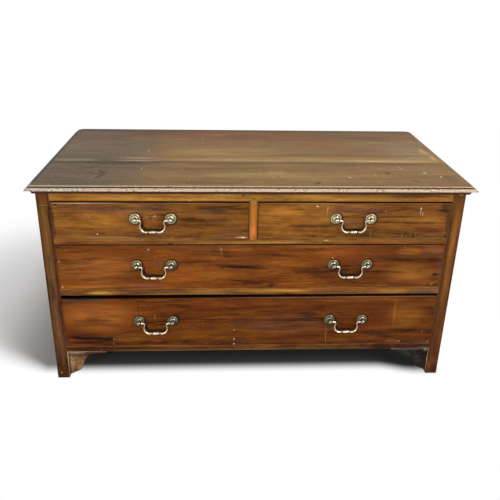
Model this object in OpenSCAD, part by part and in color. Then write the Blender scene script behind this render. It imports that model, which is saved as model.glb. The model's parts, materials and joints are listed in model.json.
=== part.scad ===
// Low chest of drawers with two short drawers over two long ones.
// The origin is on the floor under the middle of the top. The front faces -Y and up is +Z.

/* [Top] */
// Width of the top from lip to lip
top_w = 1100; // [1000:1:1200]
// Depth of the top from the front lip to the back edge
top_d = 550; // [520:1:620]
// Thickness of the top boards
top_t = 22; // [20:0.5:26]
// Width of the front board of the top
top_front_board_w = 206; // [150:1:280]
// How far the top stands out past each side of the carcase
side_overhang = 16.5; // [14:0.5:24]
// How far the top stands out in front of the carcase
front_overhang = 29.5; // [20:0.5:40]
// How far the top stands out behind the carcase
rear_overhang = 15; // [0:0.5:20]
// Width of the moulding inward from the lip
moulding_w = 10.5; // [9:0.5:16]
// Width of the round nose at the lip
nose_w = 6.5; // [5:0.1:9]
// How far the hollow under the nose goes in from the lip
cove_w = 13.8; // [8:0.2:15]

/* [Posts and rails] */
// Width of each corner post seen from the front
post_w = 32; // [28:0.5:40]
// Depth of each corner post from front to back
post_d = 44; // [40:0.5:56]
// Height of the bottom rail's underside above the floor
leg_h = 86; // [60:0.5:140]
// Depth of the front rails from front to back
rail_d = 44; // [40:0.5:70]
// Height of the bottom rail's face
bottom_rail_t = 16.5; // [14:0.5:24]
// Height of the rail between the two long drawers
middle_rail_t = 19; // [14:0.5:24]
// Height of the rail under the short drawers
upper_rail_t = 16; // [14:0.5:24]
// Height of the rail under the top
top_rail_t = 25.4; // [22:0.1:34]
// Length of the rails' tenons
tenon_l = 14; // [8:0.5:15]
// Thickness of the rails' tenons from front to back
tenon_d = 18; // [10:0.5:18]
// Shoulder above and below each tenon
tenon_shoulder = 3; // [2:0.5:5]
// Distance of the front tenons behind the front face
tenon_set_back = 10; // [6:0.5:11]
// Thickness of the upright between the short drawers
divider_t = 21.4; // [16:0.2:30]
// Place of that upright to the right of the middle
divider_x = -1.5; // [-20:0.5:20]
// Height of the pointed ends that let the upright into its rails
divider_point = 9; // [5:0.5:11]

/* [Sides and back] */
// Thickness of the side rails
side_rail_t = 22; // [20:0.5:24]
// Height of the upper side rails
side_upper_h = 60; // [40:1:80]
// Height of the lower side rails
side_lower_h = 60; // [50:1:80]
// Length of the stub tenons of side rails and runners
stub_l = 8; // [5:0.5:9]
// Thickness of the side panels
panel_t = 8; // [6:0.5:10]
// How deep the side panels are let into posts and rails
panel_groove = 7; // [4:0.5:8]
// Distance of the side panels inside the outer face
panel_set_in = 6; // [4:0.5:7]
// Thickness of the back boards
back_board_t = 8; // [6:0.5:12]
// Number of back boards
back_boards_n = 3; // [2:1:4]
// How deep the back boards are let into the posts
back_groove = 8; // [5:0.5:10]
// Distance of the back boards inside the rear face
back_set_in = 12; // [8:0.5:16]
// Depth of the back rails from front to back
back_rail_d = 24; // [20:0.5:30]
// Height of the back rails
back_rail_h = 48; // [30:1:60]
// Width of the upright in the back frame
muntin_w = 60; // [40:1:80]

/* [Runners] */
// Width of the runners inside the posts
runner_w = 30; // [20:1:40]
// Width of the middle runner under the short drawers
centre_runner_w = 64; // [44:1:90]
// Thickness of the guide strips
guide_t = 10; // [6:0.5:10]
// Height of the guide strips
guide_h = 20; // [12:1:30]
// Thickness of the drawer stops
stop_t = 4; // [3:0.5:5]
// Length of the drawer stops from front to back
stop_l = 20; // [12:1:20]
// Width of the drawer stops
stop_w = 40; // [30:1:60]
// Distance of the stops in from the ends of the drawers
stop_in = 90; // [60:1:150]

/* [Drawers] */
// Height of the short drawers' fronts
upper_front_h = 96.4; // [80:0.1:120]
// Height of the upper long drawer's front
middle_front_h = 124.5; // [100:0.1:150]
// Height of the lower long drawer's front at its right end
lower_front_h = 151.2; // [120:0.1:180]
// How much lower the bottom drawer's front is worn at its left end
lower_front_wear = 4; // [0:0.1:5]
// Gap above the short drawers
upper_gap = 4.5; // [3:0.1:8]
// Gap above the upper long drawer
middle_gap = 3.6; // [3:0.1:8]
// Gap above the lower long drawer
lower_gap = 8; // [3:0.1:10]
// Gap at each end of a drawer
end_gap = 1.5; // [1:0.1:3]
// Running gap under a drawer
run_gap = 0.3; // [0.2:0.05:0.5]
// Gap between a shut drawer and the back frame
back_gap = 11.5; // [4:0.5:40]
// Thickness of the drawer fronts
front_t = 20; // [18:0.5:24]
// Wood left in front of the dovetails
dovetail_lap = 5; // [3:0.5:8]
// Thickness of the drawer sides and backs
drawer_side_t = 10; // [8:0.5:12]
// How far the drawer sides stay below the top of the front
side_drop = 6; // [4:0.5:12]
// Thickness of the drawer bottoms
drawer_bottom_t = 6; // [4:0.5:8]
// Height of the drawer bottom above the drawer's lower edge
bottom_rise = 9; // [7:0.5:14]
// How deep the bottom is let into the front and sides
bottom_groove = 5; // [3:0.5:6]
// Height for each dovetail
dovetail_pitch = 34; // [26:1:44]

/* [Handles] */
// Distance between the two posts of a handle
handle_span = 89; // [76:0.5:102]
// Distance of the short drawers' handles from the middle
upper_handle_x = 252.7; // [200:0.1:300]
// Distance of the upper long drawer's handles from the middle
middle_handle_x = 255; // [200:0.1:320]
// Distance of the lower long drawer's handles from the middle
lower_handle_x = 256.8; // [200:0.1:320]
// Height of the short drawers' handles above the drawer's lower edge
upper_handle_z = 54.3; // [45:0.1:70]
// Height of the upper long drawer's handles above its lower edge
middle_handle_z = 68.7; // [50:0.1:95]
// Height of the lower long drawer's handles above its lower edge
lower_handle_z = 79.2; // [50:0.1:110]
// Distance of the bail's pivot in front of the drawer
pivot_out = 12; // [11:0.1:16]
// Diameter of the round plates
rose_d = 30.5; // [26:0.5:34]
// Diameter of the posts' balls
ball_d = 12.6; // [11:0.2:14]
// Diameter of the posts' stems
stem_d = 7; // [6:0.2:8]
// Diameter of the posts' bolts
bolt_d = 4.8; // [4:0.1:5.5]
// Play around each bolt
bolt_play = 0.1; // [0.05:0.05:0.3]
// Width of the nuts across their corners
nut_d = 10.4; // [9:0.2:12]
// Thickness of the nuts
nut_t = 3.6; // [3:0.1:5]
// Diameter of the bail's pins
pin_d = 4; // [3:0.1:4.6]
// Play around the bail's pins
pin_play = 0.08; // [0.04:0.01:0.1]
// Length of the bail's pins inside the balls
pin_in = 3.4; // [2:0.1:5]
// Gap between a bail's shoulder and its ball
shoulder_gap = 0.4; // [0.3:0.1:1]
// Drop of the bail from its pivot to the grip
bail_drop = 31.4; // [26:0.2:38]
// Diameter of the bail's rod
rod_d = 4.2; // [3.4:0.1:5]
// Diameter of the grip at its middle
grip_d = 6.2; // [5:0.1:7.5]
// Length of the turned grip
grip_l = 24; // [20:0.5:30]

/* [Brackets and screws] */
// Thickness of the front brackets
bracket_t = 18; // [14:0.5:24]
// Distance of the brackets behind the front face
bracket_set_back = 1; // [0:0.5:4]
// Reach of the brackets' spurs along the rail
bracket_reach = 109; // [90:1:140]
// Height that a bracket leaves open above the floor
bracket_foot = 9.5; // [6:0.5:20]
// Length of the top screws' bite into the top
screw_bite = 14; // [10:0.5:16]
// Diameter of the top screws
screw_d = 4.5; // [4:0.1:5]
// Diameter of the top screws' heads
screw_head_d = 9; // [8:0.2:10]
// Height of the top screws' countersunk heads
screw_head_h = 2.6; // [2:0.1:3]

/* [Hidden] */
$fn = 48;
CUT = 1;
y_front = -top_d / 2 + front_overhang;
y_rear = top_d / 2 - rear_overhang;
x_out = top_w / 2 - side_overhang;
x_in = x_out - post_w;
x_side = x_out - side_rail_t;
y_post_front = y_front + post_d;
y_post_rear = y_rear - post_d;
y_rail = y_front + rail_d;
y_boards = y_rear - back_set_in - back_board_t;
y_back_rail = y_boards - back_rail_d;
z_bottom_rail = leg_h;
z_lower = z_bottom_rail + bottom_rail_t;
z_middle_rail = z_lower + run_gap + lower_front_h + lower_gap;
z_middle = z_middle_rail + middle_rail_t;
z_upper_rail = z_middle + run_gap + middle_front_h + middle_gap;
z_upper = z_upper_rail + upper_rail_t;
z_top_rail = z_upper + run_gap + upper_front_h + upper_gap;
z_top = z_top_rail + top_rail_t;
total_h = z_top + top_t;
x_left_of_divider = divider_x - divider_t / 2;
x_right_of_divider = divider_x + divider_t / 2;
x_panel = x_out - panel_set_in - panel_t;
y_pivot = y_front - pivot_out;
screw_xs = [-390, -150, 150, 390];
rear_screw_in = 60;

// A drawer is [left x, right x, lower z, height at left, height at right, handle xs, handle z].
UPPER_LEFT = [
    -x_in + end_gap, x_left_of_divider - end_gap, z_upper + run_gap,
    upper_front_h, upper_front_h, [-upper_handle_x], upper_handle_z];
UPPER_RIGHT = [
    x_right_of_divider + end_gap, x_in - end_gap, z_upper + run_gap,
    upper_front_h, upper_front_h, [upper_handle_x], upper_handle_z];
MIDDLE = [
    -x_in + end_gap, x_in - end_gap, z_middle + run_gap,
    middle_front_h, middle_front_h, [-middle_handle_x, middle_handle_x], middle_handle_z];
LOWER = [
    -x_in + end_gap, x_in - end_gap, z_lower + run_gap,
    lower_front_h - lower_front_wear, lower_front_h, [-lower_handle_x, lower_handle_x], lower_handle_z];

function bezier(a, b, c, d, t) =
    pow(1 - t, 3) * a + 3 * pow(1 - t, 2) * t * b + 3 * (1 - t) * t * t * c + pow(t, 3) * d;

// A block given by its ranges along the three axes
module block(x, y, z) {
    translate([x[0], y[0], z[0]]) cube([x[1] - x[0], y[1] - y[0], z[1] - z[0]]);
}

// An outline in Y and Z, drawn out along X
module along_x(x) {
    translate([x[0], 0, 0]) rotate([90, 0, 90]) linear_extrude(x[1] - x[0]) children();
}

// An outline in X and Z, drawn out along Y
module along_y(y) {
    translate([0, y[1], 0]) rotate([90, 0, 0]) linear_extrude(y[1] - y[0]) children();
}

// Places a piece and its mirror image on the left and right
module both_sides() {
    children();
    mirror([1, 0, 0]) children();
}

// Top

// The moulded edge as [distance in from the lip, depth below the upper face]
bead_r = 1.5;
fillet_depth = 4.8;
nose_h = 5.6;
lip_h = 1;
lip_in = 0.8;
edge_steps = 6;
moulding = concat(
    [for (i = [0:edge_steps]) let (a = 90 * i / edge_steps)
        [moulding_w - bead_r * sin(a), bead_r * (1 - cos(a))]],
    [for (i = [0:edge_steps]) let (a = 180 * i / edge_steps)
        let (mid = (moulding_w - bead_r + nose_w) / 2, half = (moulding_w - bead_r - nose_w) / 2)
        [mid + half * cos(a), fillet_depth + 0.8 * sin(a)]],
    [for (i = [1:edge_steps]) let (a = 90 * i / edge_steps)
        [nose_w * (1 - sin(a)), fillet_depth + nose_h * (1 - cos(a))]],
    [for (i = [0:edge_steps]) let (a = 90 * i / edge_steps, d = fillet_depth + nose_h + lip_h)
        [lip_in + (cove_w - lip_in) * sin(a), d + (top_t - d) * (1 - cos(a))]]);

module top_section_across() {
    half = top_w / 2;
    right = [for (p = moulding) [half - p[0], total_h - p[1]]];
    left = [for (i = [len(moulding) - 1:-1:0]) [moulding[i][0] - half, total_h - moulding[i][1]]];
    polygon(concat(right, left));
}

module top_section_along() {
    front = [for (p = moulding) [p[0] - top_d / 2, total_h - p[1]]];
    polygon(concat(front, [[top_d / 2, z_top], [top_d / 2, total_h]]));
}

module top_board(y) {
    difference() {
        intersection() {
            along_x([-top_w / 2, top_w / 2]) top_section_along();
            along_y([-top_d / 2, top_d / 2]) top_section_across();
            block([-top_w / 2, top_w / 2], y, [z_top, total_h]);
        }
        screws();
    }
}

module top_front_board() {
    color("rosybrown") top_board([-top_d / 2, top_front_board_w - top_d / 2]);
}

module top_back_board() {
    color("rosybrown") top_board([top_front_board_w - top_d / 2, top_d / 2]);
}

// Posts

module front_post() {
    difference() {
        block([x_in, x_out], [y_front, y_post_front], [0, z_top]);
        front_rail(z_bottom_rail, bottom_rail_t);
        front_rail(z_middle_rail, middle_rail_t);
        front_rail(z_upper_rail, upper_rail_t);
        front_rail(z_top_rail, top_rail_t);
        side_rails();
        side_panel();
        side_runners();
    }
}

module rear_post() {
    difference() {
        block([x_in, x_out], [y_post_rear, y_rear], [0, z_top]);
        side_rails();
        side_panel();
        side_runners();
        back_rail(z_bottom_rail);
        back_rail(z_top - back_rail_h);
        back_sheet();
    }
}

module front_left_post() {
    color("sienna") mirror([1, 0, 0]) front_post();
}

module front_right_post() {
    color("sienna") front_post();
}

module rear_left_post() {
    color("saddlebrown") mirror([1, 0, 0]) rear_post();
}

module rear_right_post() {
    color("saddlebrown") rear_post();
}

// Front rails

module front_rail(z, t) {
    block([-x_in, x_in], [y_front, y_rail], [z, z + t]);
    block([-x_in - tenon_l, x_in + tenon_l],
        [y_front + tenon_set_back, y_front + tenon_set_back + tenon_d],
        [z + tenon_shoulder, z + t - tenon_shoulder]);
}

module top_rail() {
    color("peru") difference() {
        front_rail(z_top_rail, top_rail_t);
        divider_body();
        screws();
    }
}

module upper_rail() {
    color("sienna") difference() {
        front_rail(z_upper_rail, upper_rail_t);
        divider_body();
    }
}

module middle_rail() {
    color("sienna") front_rail(z_middle_rail, middle_rail_t);
}

module bottom_rail() {
    color("sienna") front_rail(z_bottom_rail, bottom_rail_t);
}

// The upright between the short drawers, pointed at both ends
module divider_body() {
    along_y([y_front, y_rail]) polygon([
        [x_left_of_divider, z_upper],
        [divider_x, z_upper - divider_point],
        [x_right_of_divider, z_upper],
        [x_right_of_divider, z_top_rail],
        [divider_x, z_top_rail + divider_point],
        [x_left_of_divider, z_top_rail]]);
}

module centre_divider() {
    color("chocolate") divider_body();
}

// Sides

module side_rail(z) {
    block([x_side, x_out], [y_post_front, y_post_rear], z);
    block([x_panel, x_panel + panel_t], [y_post_front - stub_l, y_post_rear + stub_l],
        [z[0] + tenon_shoulder, z[1] - tenon_shoulder]);
}

module side_rails() {
    side_rail([z_bottom_rail, z_bottom_rail + side_lower_h]);
    side_rail([z_top - side_upper_h, z_top]);
}

module side_panel() {
    block([x_panel, x_panel + panel_t], [y_post_front - panel_groove, y_post_rear + panel_groove],
        [z_bottom_rail + side_lower_h - panel_groove, z_top - side_upper_h + panel_groove]);
}

module grooved_side_rails() {
    difference() {
        side_rails();
        side_panel();
    }
}

module fitted_side_panel() {
    // The rails' stub tenons keep the ends of the grooves to themselves.
    difference() {
        side_panel();
        block([x_panel - CUT, x_out], [y_post_front - post_d, y_post_front],
            [z_bottom_rail, z_bottom_rail + side_lower_h]);
        block([x_panel - CUT, x_out], [y_post_front - post_d, y_post_front],
            [z_top - side_upper_h, z_top]);
        block([x_panel - CUT, x_out], [y_post_rear, y_rear],
            [z_bottom_rail, z_bottom_rail + side_lower_h]);
        block([x_panel - CUT, x_out], [y_post_rear, y_rear],
            [z_top - side_upper_h, z_top]);
    }
}

module left_side_rails() {
    color("saddlebrown") mirror([1, 0, 0]) grooved_side_rails();
}

module right_side_rails() {
    color("saddlebrown") grooved_side_rails();
}

module left_side_panel() {
    color("saddlebrown") mirror([1, 0, 0]) fitted_side_panel();
}

module right_side_panel() {
    color("saddlebrown") fitted_side_panel();
}

// Back

module back_rail(z) {
    block([-x_in, x_in], [y_back_rail, y_boards], [z, z + back_rail_h]);
    block([-x_in - tenon_l, x_in + tenon_l],
        [y_back_rail + tenon_shoulder, y_boards - tenon_shoulder],
        [z + tenon_shoulder, z + back_rail_h - tenon_shoulder]);
}

module back_rails() {
    color("burlywood") {
        back_rail(z_bottom_rail);
        back_rail(z_top - back_rail_h);
        block([divider_x - muntin_w / 2, divider_x + muntin_w / 2], [y_back_rail, y_boards],
            [z_bottom_rail + back_rail_h, z_top - back_rail_h]);
    }
}

module back_sheet() {
    block([-x_in - back_groove, x_in + back_groove], [y_boards, y_boards + back_board_t],
        [z_bottom_rail, z_top]);
}

module back_boards() {
    board_h = (z_top - z_bottom_rail) / back_boards_n;
    board_gap = 0.6;
    color("burlywood") for (i = [0:back_boards_n - 1]) {
        top_gap = i < back_boards_n - 1 ? board_gap : 0;
        block([-x_in - back_groove, x_in + back_groove], [y_boards, y_boards + back_board_t],
            [z_bottom_rail + i * board_h, z_bottom_rail + (i + 1) * board_h - top_gap]);
    }
}

// Runners

// One strip at the right end of a drawer opening, let into the front post and butted to the rear one
module side_runner(z, t) {
    block([x_in - runner_w, x_in], [y_rail, y_back_rail], [z - t, z]);
    block([x_in, x_side], [y_post_front, y_post_rear], [z - t, z]);
    block([x_in, x_side], [y_post_front - stub_l, y_post_front],
        [z - t + tenon_shoulder, z - tenon_shoulder]);
}

module side_runners() {
    side_runner(z_lower, bottom_rail_t);
    side_runner(z_middle, middle_rail_t);
    side_runner(z_upper, upper_rail_t);
    side_runner(z_top, top_rail_t);
}

module centre_runner(z, t) {
    block([divider_x - centre_runner_w / 2, divider_x + centre_runner_w / 2],
        [y_rail, y_back_rail], [z - t, z]);
}

module runners_and_kickers() {
    color("tan") difference() {
        union() {
            both_sides() side_runners();
            centre_runner(z_upper, upper_rail_t);
            centre_runner(z_top, top_rail_t);
        }
        screws();
    }
}

module side_guide(z) {
    block([x_in, x_in + guide_t], [y_post_front, y_post_rear], [z, z + guide_h]);
}

module drawer_guides() {
    color("tan") {
        both_sides() {
            side_guide(z_lower);
            side_guide(z_middle);
            side_guide(z_upper);
        }
        block([x_left_of_divider, x_right_of_divider], [y_rail, y_back_rail],
            [z_upper, z_upper + guide_h]);
    }
}

// Two blocks on the rail that the drawer's front meets when it is shut
module stops(d) {
    for (x = [d[0] + stop_in, d[1] - stop_in])
        block([x - stop_w / 2, x + stop_w / 2], [y_front + front_t, y_front + front_t + stop_l],
            [d[2] - run_gap, d[2] - run_gap + stop_t]);
}

module drawer_stops() {
    color("tan") {
        stops(UPPER_LEFT);
        stops(UPPER_RIGHT);
        stops(MIDDLE);
        stops(LOWER);
    }
}

// Front brackets

bracket_steps = 6;
spur_t = 6;
spur_tip = 16;
nose_x = 56;
nose_z = 15;
waist_x = 37;
waist_z = 0.53;
bracket_drop = leg_h - bracket_foot;
bracket_outline = concat(
    [[0, 0], [bracket_reach, 0]],
    [for (i = [1:bracket_steps]) let (t = i / bracket_steps) bezier(
        [bracket_reach, 0], [bracket_reach - 3, -spur_t], [bracket_reach - 10, -spur_t - 2],
        [bracket_reach - spur_tip, -spur_t], t)],
    [for (i = [0:bracket_steps]) let (t = i / bracket_steps) bezier(
        [nose_x + 14, -spur_t - 1], [nose_x + 6, -spur_t - 2], [nose_x, -nose_z + 6],
        [nose_x, -nose_z], t)],
    [for (i = [1:bracket_steps]) let (t = i / bracket_steps) bezier(
        [nose_x, -nose_z], [nose_x - 10, -nose_z - 6], [waist_x + 4, -bracket_drop * waist_z],
        [waist_x, -bracket_drop * 0.7], t)],
    [for (i = [1:bracket_steps]) let (t = i / bracket_steps) bezier(
        [waist_x, -bracket_drop * 0.7], [waist_x - 2, -bracket_drop * 0.82],
        [12, -bracket_drop * 0.9], [0, -bracket_drop], t)]);

module front_brackets() {
    y = y_front + bracket_set_back;
    color("sienna") both_sides()
        along_y([y, y + bracket_t])
        polygon([for (p = bracket_outline) [x_in - p[0], leg_h + p[1]]]);
}

// Screws that hold the top

module screw(x, y) {
    translate([x, y, z_top_rail]) {
        cylinder(h = screw_head_h, d1 = screw_head_d, d2 = screw_d);
        cylinder(h = top_rail_t + screw_bite, d = screw_d);
    }
}

module screws() {
    for (x = screw_xs) screw(x, y_front + rail_d / 2);
    for (x = [runner_w / 2 - x_in, divider_x, x_in - runner_w / 2])
        screw(x, y_back_rail - rear_screw_in);
}

module top_screws() {
    color("dimgray") screws();
}

// Drawers

function side_h(d) = min(d[3], d[4]) - side_drop;
y_box = y_front + front_t;
y_end = y_back_rail - back_gap;

// How many dovetails a side has at each end, and their spacing
function dovetail_count(d) = max(2, round(side_h(d) / dovetail_pitch));
function dovetail_step(d) = side_h(d) / dovetail_count(d);

// The outline of one dovetail in Y and Z, from the bottom up
function dovetail(d, i, root_y, tip_y) =
    let (step = dovetail_step(d), z = d[2] + step * (i + 0.5), root = step * 0.28, tip = step * 0.36)
    [[root_y, z - root], [tip_y, z - tip], [tip_y, z + tip], [root_y, z + root]];

// The front or rear edge of a drawer side, from the bottom up, with its dovetails
function dovetails(d, root_y, tip_y) =
    [for (i = [0:dovetail_count(d) - 1]) each dovetail(d, i, root_y, tip_y)];

function backwards(points) = [for (i = [len(points) - 1:-1:0]) points[i]];

// The side's blank: its board and the dovetails at both ends
module side_blank(d, x) {
    y_root = y_end - drawer_side_t;
    along_x(x) polygon(concat(
        [[y_box, d[2]]], dovetails(d, y_box, y_front + dovetail_lap), [[y_box, d[2] + side_h(d)]],
        [[y_root, d[2] + side_h(d)]], backwards(dovetails(d, y_root, y_end)), [[y_root, d[2]]]));
}

// The sockets that a side's dovetails fill, open past the outer face of the side
module sockets(d, x, root_y, tip_y) {
    for (i = [0:dovetail_count(d) - 1]) along_x(x) {
        tail = dovetail(d, i, root_y, tip_y);
        heel = root_y - sign(tip_y - root_y) * CUT;
        polygon([[heel, tail[0][1]], tail[0], tail[1], tail[2], tail[3], [heel, tail[3][1]]]);
    }
}

module both_ends_sockets(d, root_y, tip_y) {
    sockets(d, [d[0] - CUT, d[0] + drawer_side_t], root_y, tip_y);
    sockets(d, [d[1] - drawer_side_t, d[1] + CUT], root_y, tip_y);
}

module bottom_blank(d) {
    block([d[0] + drawer_side_t - bottom_groove, d[1] - drawer_side_t + bottom_groove],
        [y_box - bottom_groove, y_end], [d[2] + bottom_rise, d[2] + bottom_rise + drawer_bottom_t]);
}

function left_side_x(d) = [d[0], d[0] + drawer_side_t];
function right_side_x(d) = [d[1] - drawer_side_t, d[1]];

module drawer_front(d) {
    color("sienna") difference() {
        along_y([y_front, y_box])
            polygon([[d[0], d[2]], [d[1], d[2]], [d[1], d[2] + d[4]], [d[0], d[2] + d[3]]]);
        both_ends_sockets(d, y_box, y_front + dovetail_lap);
        bottom_blank(d);
        at_handle_posts(d) bolt_hole();
    }
}

module drawer_side(d, x) {
    color("tan") difference() {
        side_blank(d, x);
        bottom_blank(d);
    }
}

module drawer_back(d) {
    color("tan") difference() {
        block([d[0], d[1]], [y_end - drawer_side_t, y_end],
            [d[2] + bottom_rise + drawer_bottom_t, d[2] + side_h(d)]);
        both_ends_sockets(d, y_end - drawer_side_t, y_end);
    }
}

module drawer_bottom(d) {
    color("burlywood") bottom_blank(d);
}

// Handles

// Puts a piece at each post of a drawer's handles, on the front's face, with +Z outward
module at_handle_posts(d) {
    for (hx = d[5], side = [-1, 1])
        translate([hx + side * handle_span / 2, y_front, d[2] + d[6]])
        rotate([90, 0, 0])
        rotate([0, 0, side > 0 ? 180 : 0]) children();
}

module bolt_hole() {
    translate([0, 0, -front_t - CUT]) cylinder(h = front_t + 2 * CUT, d = bolt_d + 2 * bolt_play);
}

// A round plate with a raised ring, a sunk band and a dome
module rose() {
    r = rose_d / 2;
    hole = stem_d / 2;
    rotate_extrude() polygon([
        [hole, 0], [r, 0], [r, 0.9], [r - 0.5, 1.7], [r - 1.4, 2.3], [r - 2.6, 2.5],
        [r - 3.8, 2.2], [r - 4.7, 1.5], [r - 5.6, 1.3], [r - 6.6, 1.6], [r - 8, 2.6],
        [r - 9.6, 3.4], [hole, 3.7]]);
}

ball_steps = 16;
neck_r = 2.9;
collar_r = 4.7;
post_tail = front_t + nut_t + 2;
module handle_post() {
    r = ball_d / 2;
    neck_a = asin(neck_r / r);
    // Only the side towards the bail is bored.
    difference() {
        rotate_extrude() polygon(concat(
            [[0, -post_tail], [bolt_d / 2, -post_tail], [bolt_d / 2, 0], [stem_d / 2, 0],
                [stem_d / 2, 3.7], [collar_r, 4], [collar_r, 4.8], [neck_r, 5.4],
                [neck_r, pivot_out - r * cos(neck_a)]],
            [for (i = [1:ball_steps - 1]) let (a = neck_a + (170 - neck_a) * i / ball_steps)
                [r * sin(a), pivot_out - r * cos(a)]],
            [[1.6, pivot_out + r], [1.2, pivot_out + r + 0.8], [0, pivot_out + r + 1]]));
        translate([0, 0, pivot_out]) rotate([0, 90, 0])
            cylinder(h = r + CUT, d = pin_d + 2 * pin_play);
    }
}

module nut() {
    translate([0, 0, -front_t - nut_t]) difference() {
        cylinder(h = nut_t, d = nut_d, $fn = 6);
        translate([0, 0, -CUT]) cylinder(h = nut_t + 2 * CUT, d = bolt_d + bolt_play);
    }
}

module roses(d) {
    color("darkkhaki") at_handle_posts(d) rose();
}

module handle_posts(d) {
    color("darkkhaki") at_handle_posts(d) handle_post();
}

module nuts(d) {
    color("gray") at_handle_posts(d) nut();
}

// The swan neck, from the shoulder at the post to the end of the grip, as [x, z] from the pivot
shoulder_x = handle_span / 2 - ball_d / 2 - shoulder_gap;
shoulder_w = 2.6;
elbow_x = shoulder_x - 10;
neck_x = shoulder_x - 5.6;
turn_drop = 16;
low_drop = 26;
belly_x = 19;
belly_drop = 2.8;
neck_steps = 6;
neck_path = concat(
    [for (i = [0:neck_steps - 1]) bezier(
        [shoulder_x - 1, 0], [shoulder_x - 6, 0], [elbow_x, -0.5],
        [elbow_x, -5], i / neck_steps)],
    [for (i = [0:neck_steps - 1]) bezier(
        [elbow_x, -5], [elbow_x, -9.5], [neck_x, -10.5],
        [neck_x, -turn_drop], i / neck_steps)],
    [for (i = [0:neck_steps]) bezier(
        [neck_x, -turn_drop], [neck_x, -low_drop], [belly_x + 7, -bail_drop - belly_drop],
        [belly_x, -bail_drop - belly_drop], i / neck_steps)],
    [for (i = [1:neck_steps]) bezier(
        [belly_x, -bail_drop - belly_drop], [belly_x - 4, -bail_drop - belly_drop],
        [grip_l / 2 + 2, -bail_drop], [grip_l / 2 - 1, -bail_drop], i / neck_steps)]);

rod_sides = 12;
module swan_neck() {
    last = len(neck_path) - 1;
    points = [for (i = [0:last])
        let (before = neck_path[max(i - 1, 0)], after = neck_path[min(i + 1, last)])
        let (run = after - before, across = [-run[1], run[0]] / norm(run))
        for (k = [0:rod_sides - 1])
            let (a = 360 * k / rod_sides, r = rod_d / 2)
            [neck_path[i][0] + r * cos(a) * across[0], r * sin(a),
                neck_path[i][1] + r * cos(a) * across[1]]];
    walls = [for (i = [0:last - 1], k = [0:rod_sides - 1])
        let (a = i * rod_sides + k, b = i * rod_sides + (k + 1) % rod_sides)
        [a, b, b + rod_sides, a + rod_sides]];
    first_cap = [for (k = [rod_sides - 1:-1:0]) k];
    last_cap = [for (k = [0:rod_sides - 1]) last * rod_sides + k];
    polyhedron(points, concat([first_cap], walls, [last_cap]), convexity = 4);
}

// Half of the turned grip as [distance from the middle, radius]
grip_profile = [
    [0, grip_d / 2], [0.25, grip_d / 2 * 0.98], [0.45, grip_d / 2 * 0.85], [0.62, grip_d / 2 * 0.68],
    [0.7, grip_d / 2 * 0.72], [0.74, grip_d / 2 * 1.02], [0.82, grip_d / 2 * 1.08],
    [0.9, grip_d / 2 * 0.98], [0.94, grip_d / 2 * 0.76], [1, grip_d / 2 * 0.7]];

module grip() {
    half = grip_l / 2;
    right = [for (p = grip_profile) [p[1], p[0] * half]];
    left = [for (i = [len(grip_profile) - 1:-1:1]) [grip_profile[i][1], -grip_profile[i][0] * half]];
    translate([0, 0, -bail_drop]) rotate([0, 90, 0])
        rotate_extrude() polygon(concat([[0, -half]], left, right, [[0, half]]));
}

module bail(d, hx) {
    color("darkkhaki") translate([hx, y_pivot, d[2] + d[6]]) {
        both_sides() {
            swan_neck();
            translate([shoulder_x - shoulder_w, 0, 0]) rotate([0, 90, 0])
                cylinder(h = shoulder_w, d = rod_d + 2.2);
            translate([shoulder_x - 1, 0, 0]) rotate([0, 90, 0])
                cylinder(h = 1 + shoulder_gap + pin_in, d = pin_d);
        }
        grip();
    }
}

top_front_board();
top_back_board();
front_left_post();
front_right_post();
rear_left_post();
rear_right_post();
top_rail();
upper_rail();
middle_rail();
bottom_rail();
centre_divider();
left_side_rails();
right_side_rails();
left_side_panel();
right_side_panel();
back_rails();
back_boards();
runners_and_kickers();
drawer_guides();
drawer_stops();
front_brackets();
top_screws();
drawer_front(UPPER_LEFT);  // upper_left_front
drawer_side(UPPER_LEFT, left_side_x(UPPER_LEFT));  // upper_left_left_side
drawer_side(UPPER_LEFT, right_side_x(UPPER_LEFT));  // upper_left_right_side
drawer_back(UPPER_LEFT);  // upper_left_back
drawer_bottom(UPPER_LEFT);  // upper_left_bottom
roses(UPPER_LEFT);  // upper_left_roses
handle_posts(UPPER_LEFT);  // upper_left_handle_posts
nuts(UPPER_LEFT);  // upper_left_nuts
bail(UPPER_LEFT, -upper_handle_x);  // upper_left_bail
drawer_front(UPPER_RIGHT);  // upper_right_front
drawer_side(UPPER_RIGHT, left_side_x(UPPER_RIGHT));  // upper_right_left_side
drawer_side(UPPER_RIGHT, right_side_x(UPPER_RIGHT));  // upper_right_right_side
drawer_back(UPPER_RIGHT);  // upper_right_back
drawer_bottom(UPPER_RIGHT);  // upper_right_bottom
roses(UPPER_RIGHT);  // upper_right_roses
handle_posts(UPPER_RIGHT);  // upper_right_handle_posts
nuts(UPPER_RIGHT);  // upper_right_nuts
bail(UPPER_RIGHT, upper_handle_x);  // upper_right_bail
drawer_front(MIDDLE);  // middle_front
drawer_side(MIDDLE, left_side_x(MIDDLE));  // middle_left_side
drawer_side(MIDDLE, right_side_x(MIDDLE));  // middle_right_side
drawer_back(MIDDLE);  // middle_back
drawer_bottom(MIDDLE);  // middle_bottom
roses(MIDDLE);  // middle_roses
handle_posts(MIDDLE);  // middle_handle_posts
nuts(MIDDLE);  // middle_nuts
bail(MIDDLE, -middle_handle_x);  // middle_left_bail
bail(MIDDLE, middle_handle_x);  // middle_right_bail
drawer_front(LOWER);  // lower_front
drawer_side(LOWER, left_side_x(LOWER));  // lower_left_side
drawer_side(LOWER, right_side_x(LOWER));  // lower_right_side
drawer_back(LOWER);  // lower_back
drawer_bottom(LOWER);  // lower_bottom
roses(LOWER);  // lower_roses
handle_posts(LOWER);  // lower_handle_posts
nuts(LOWER);  // lower_nuts
bail(LOWER, -lower_handle_x);  // lower_left_bail
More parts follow.
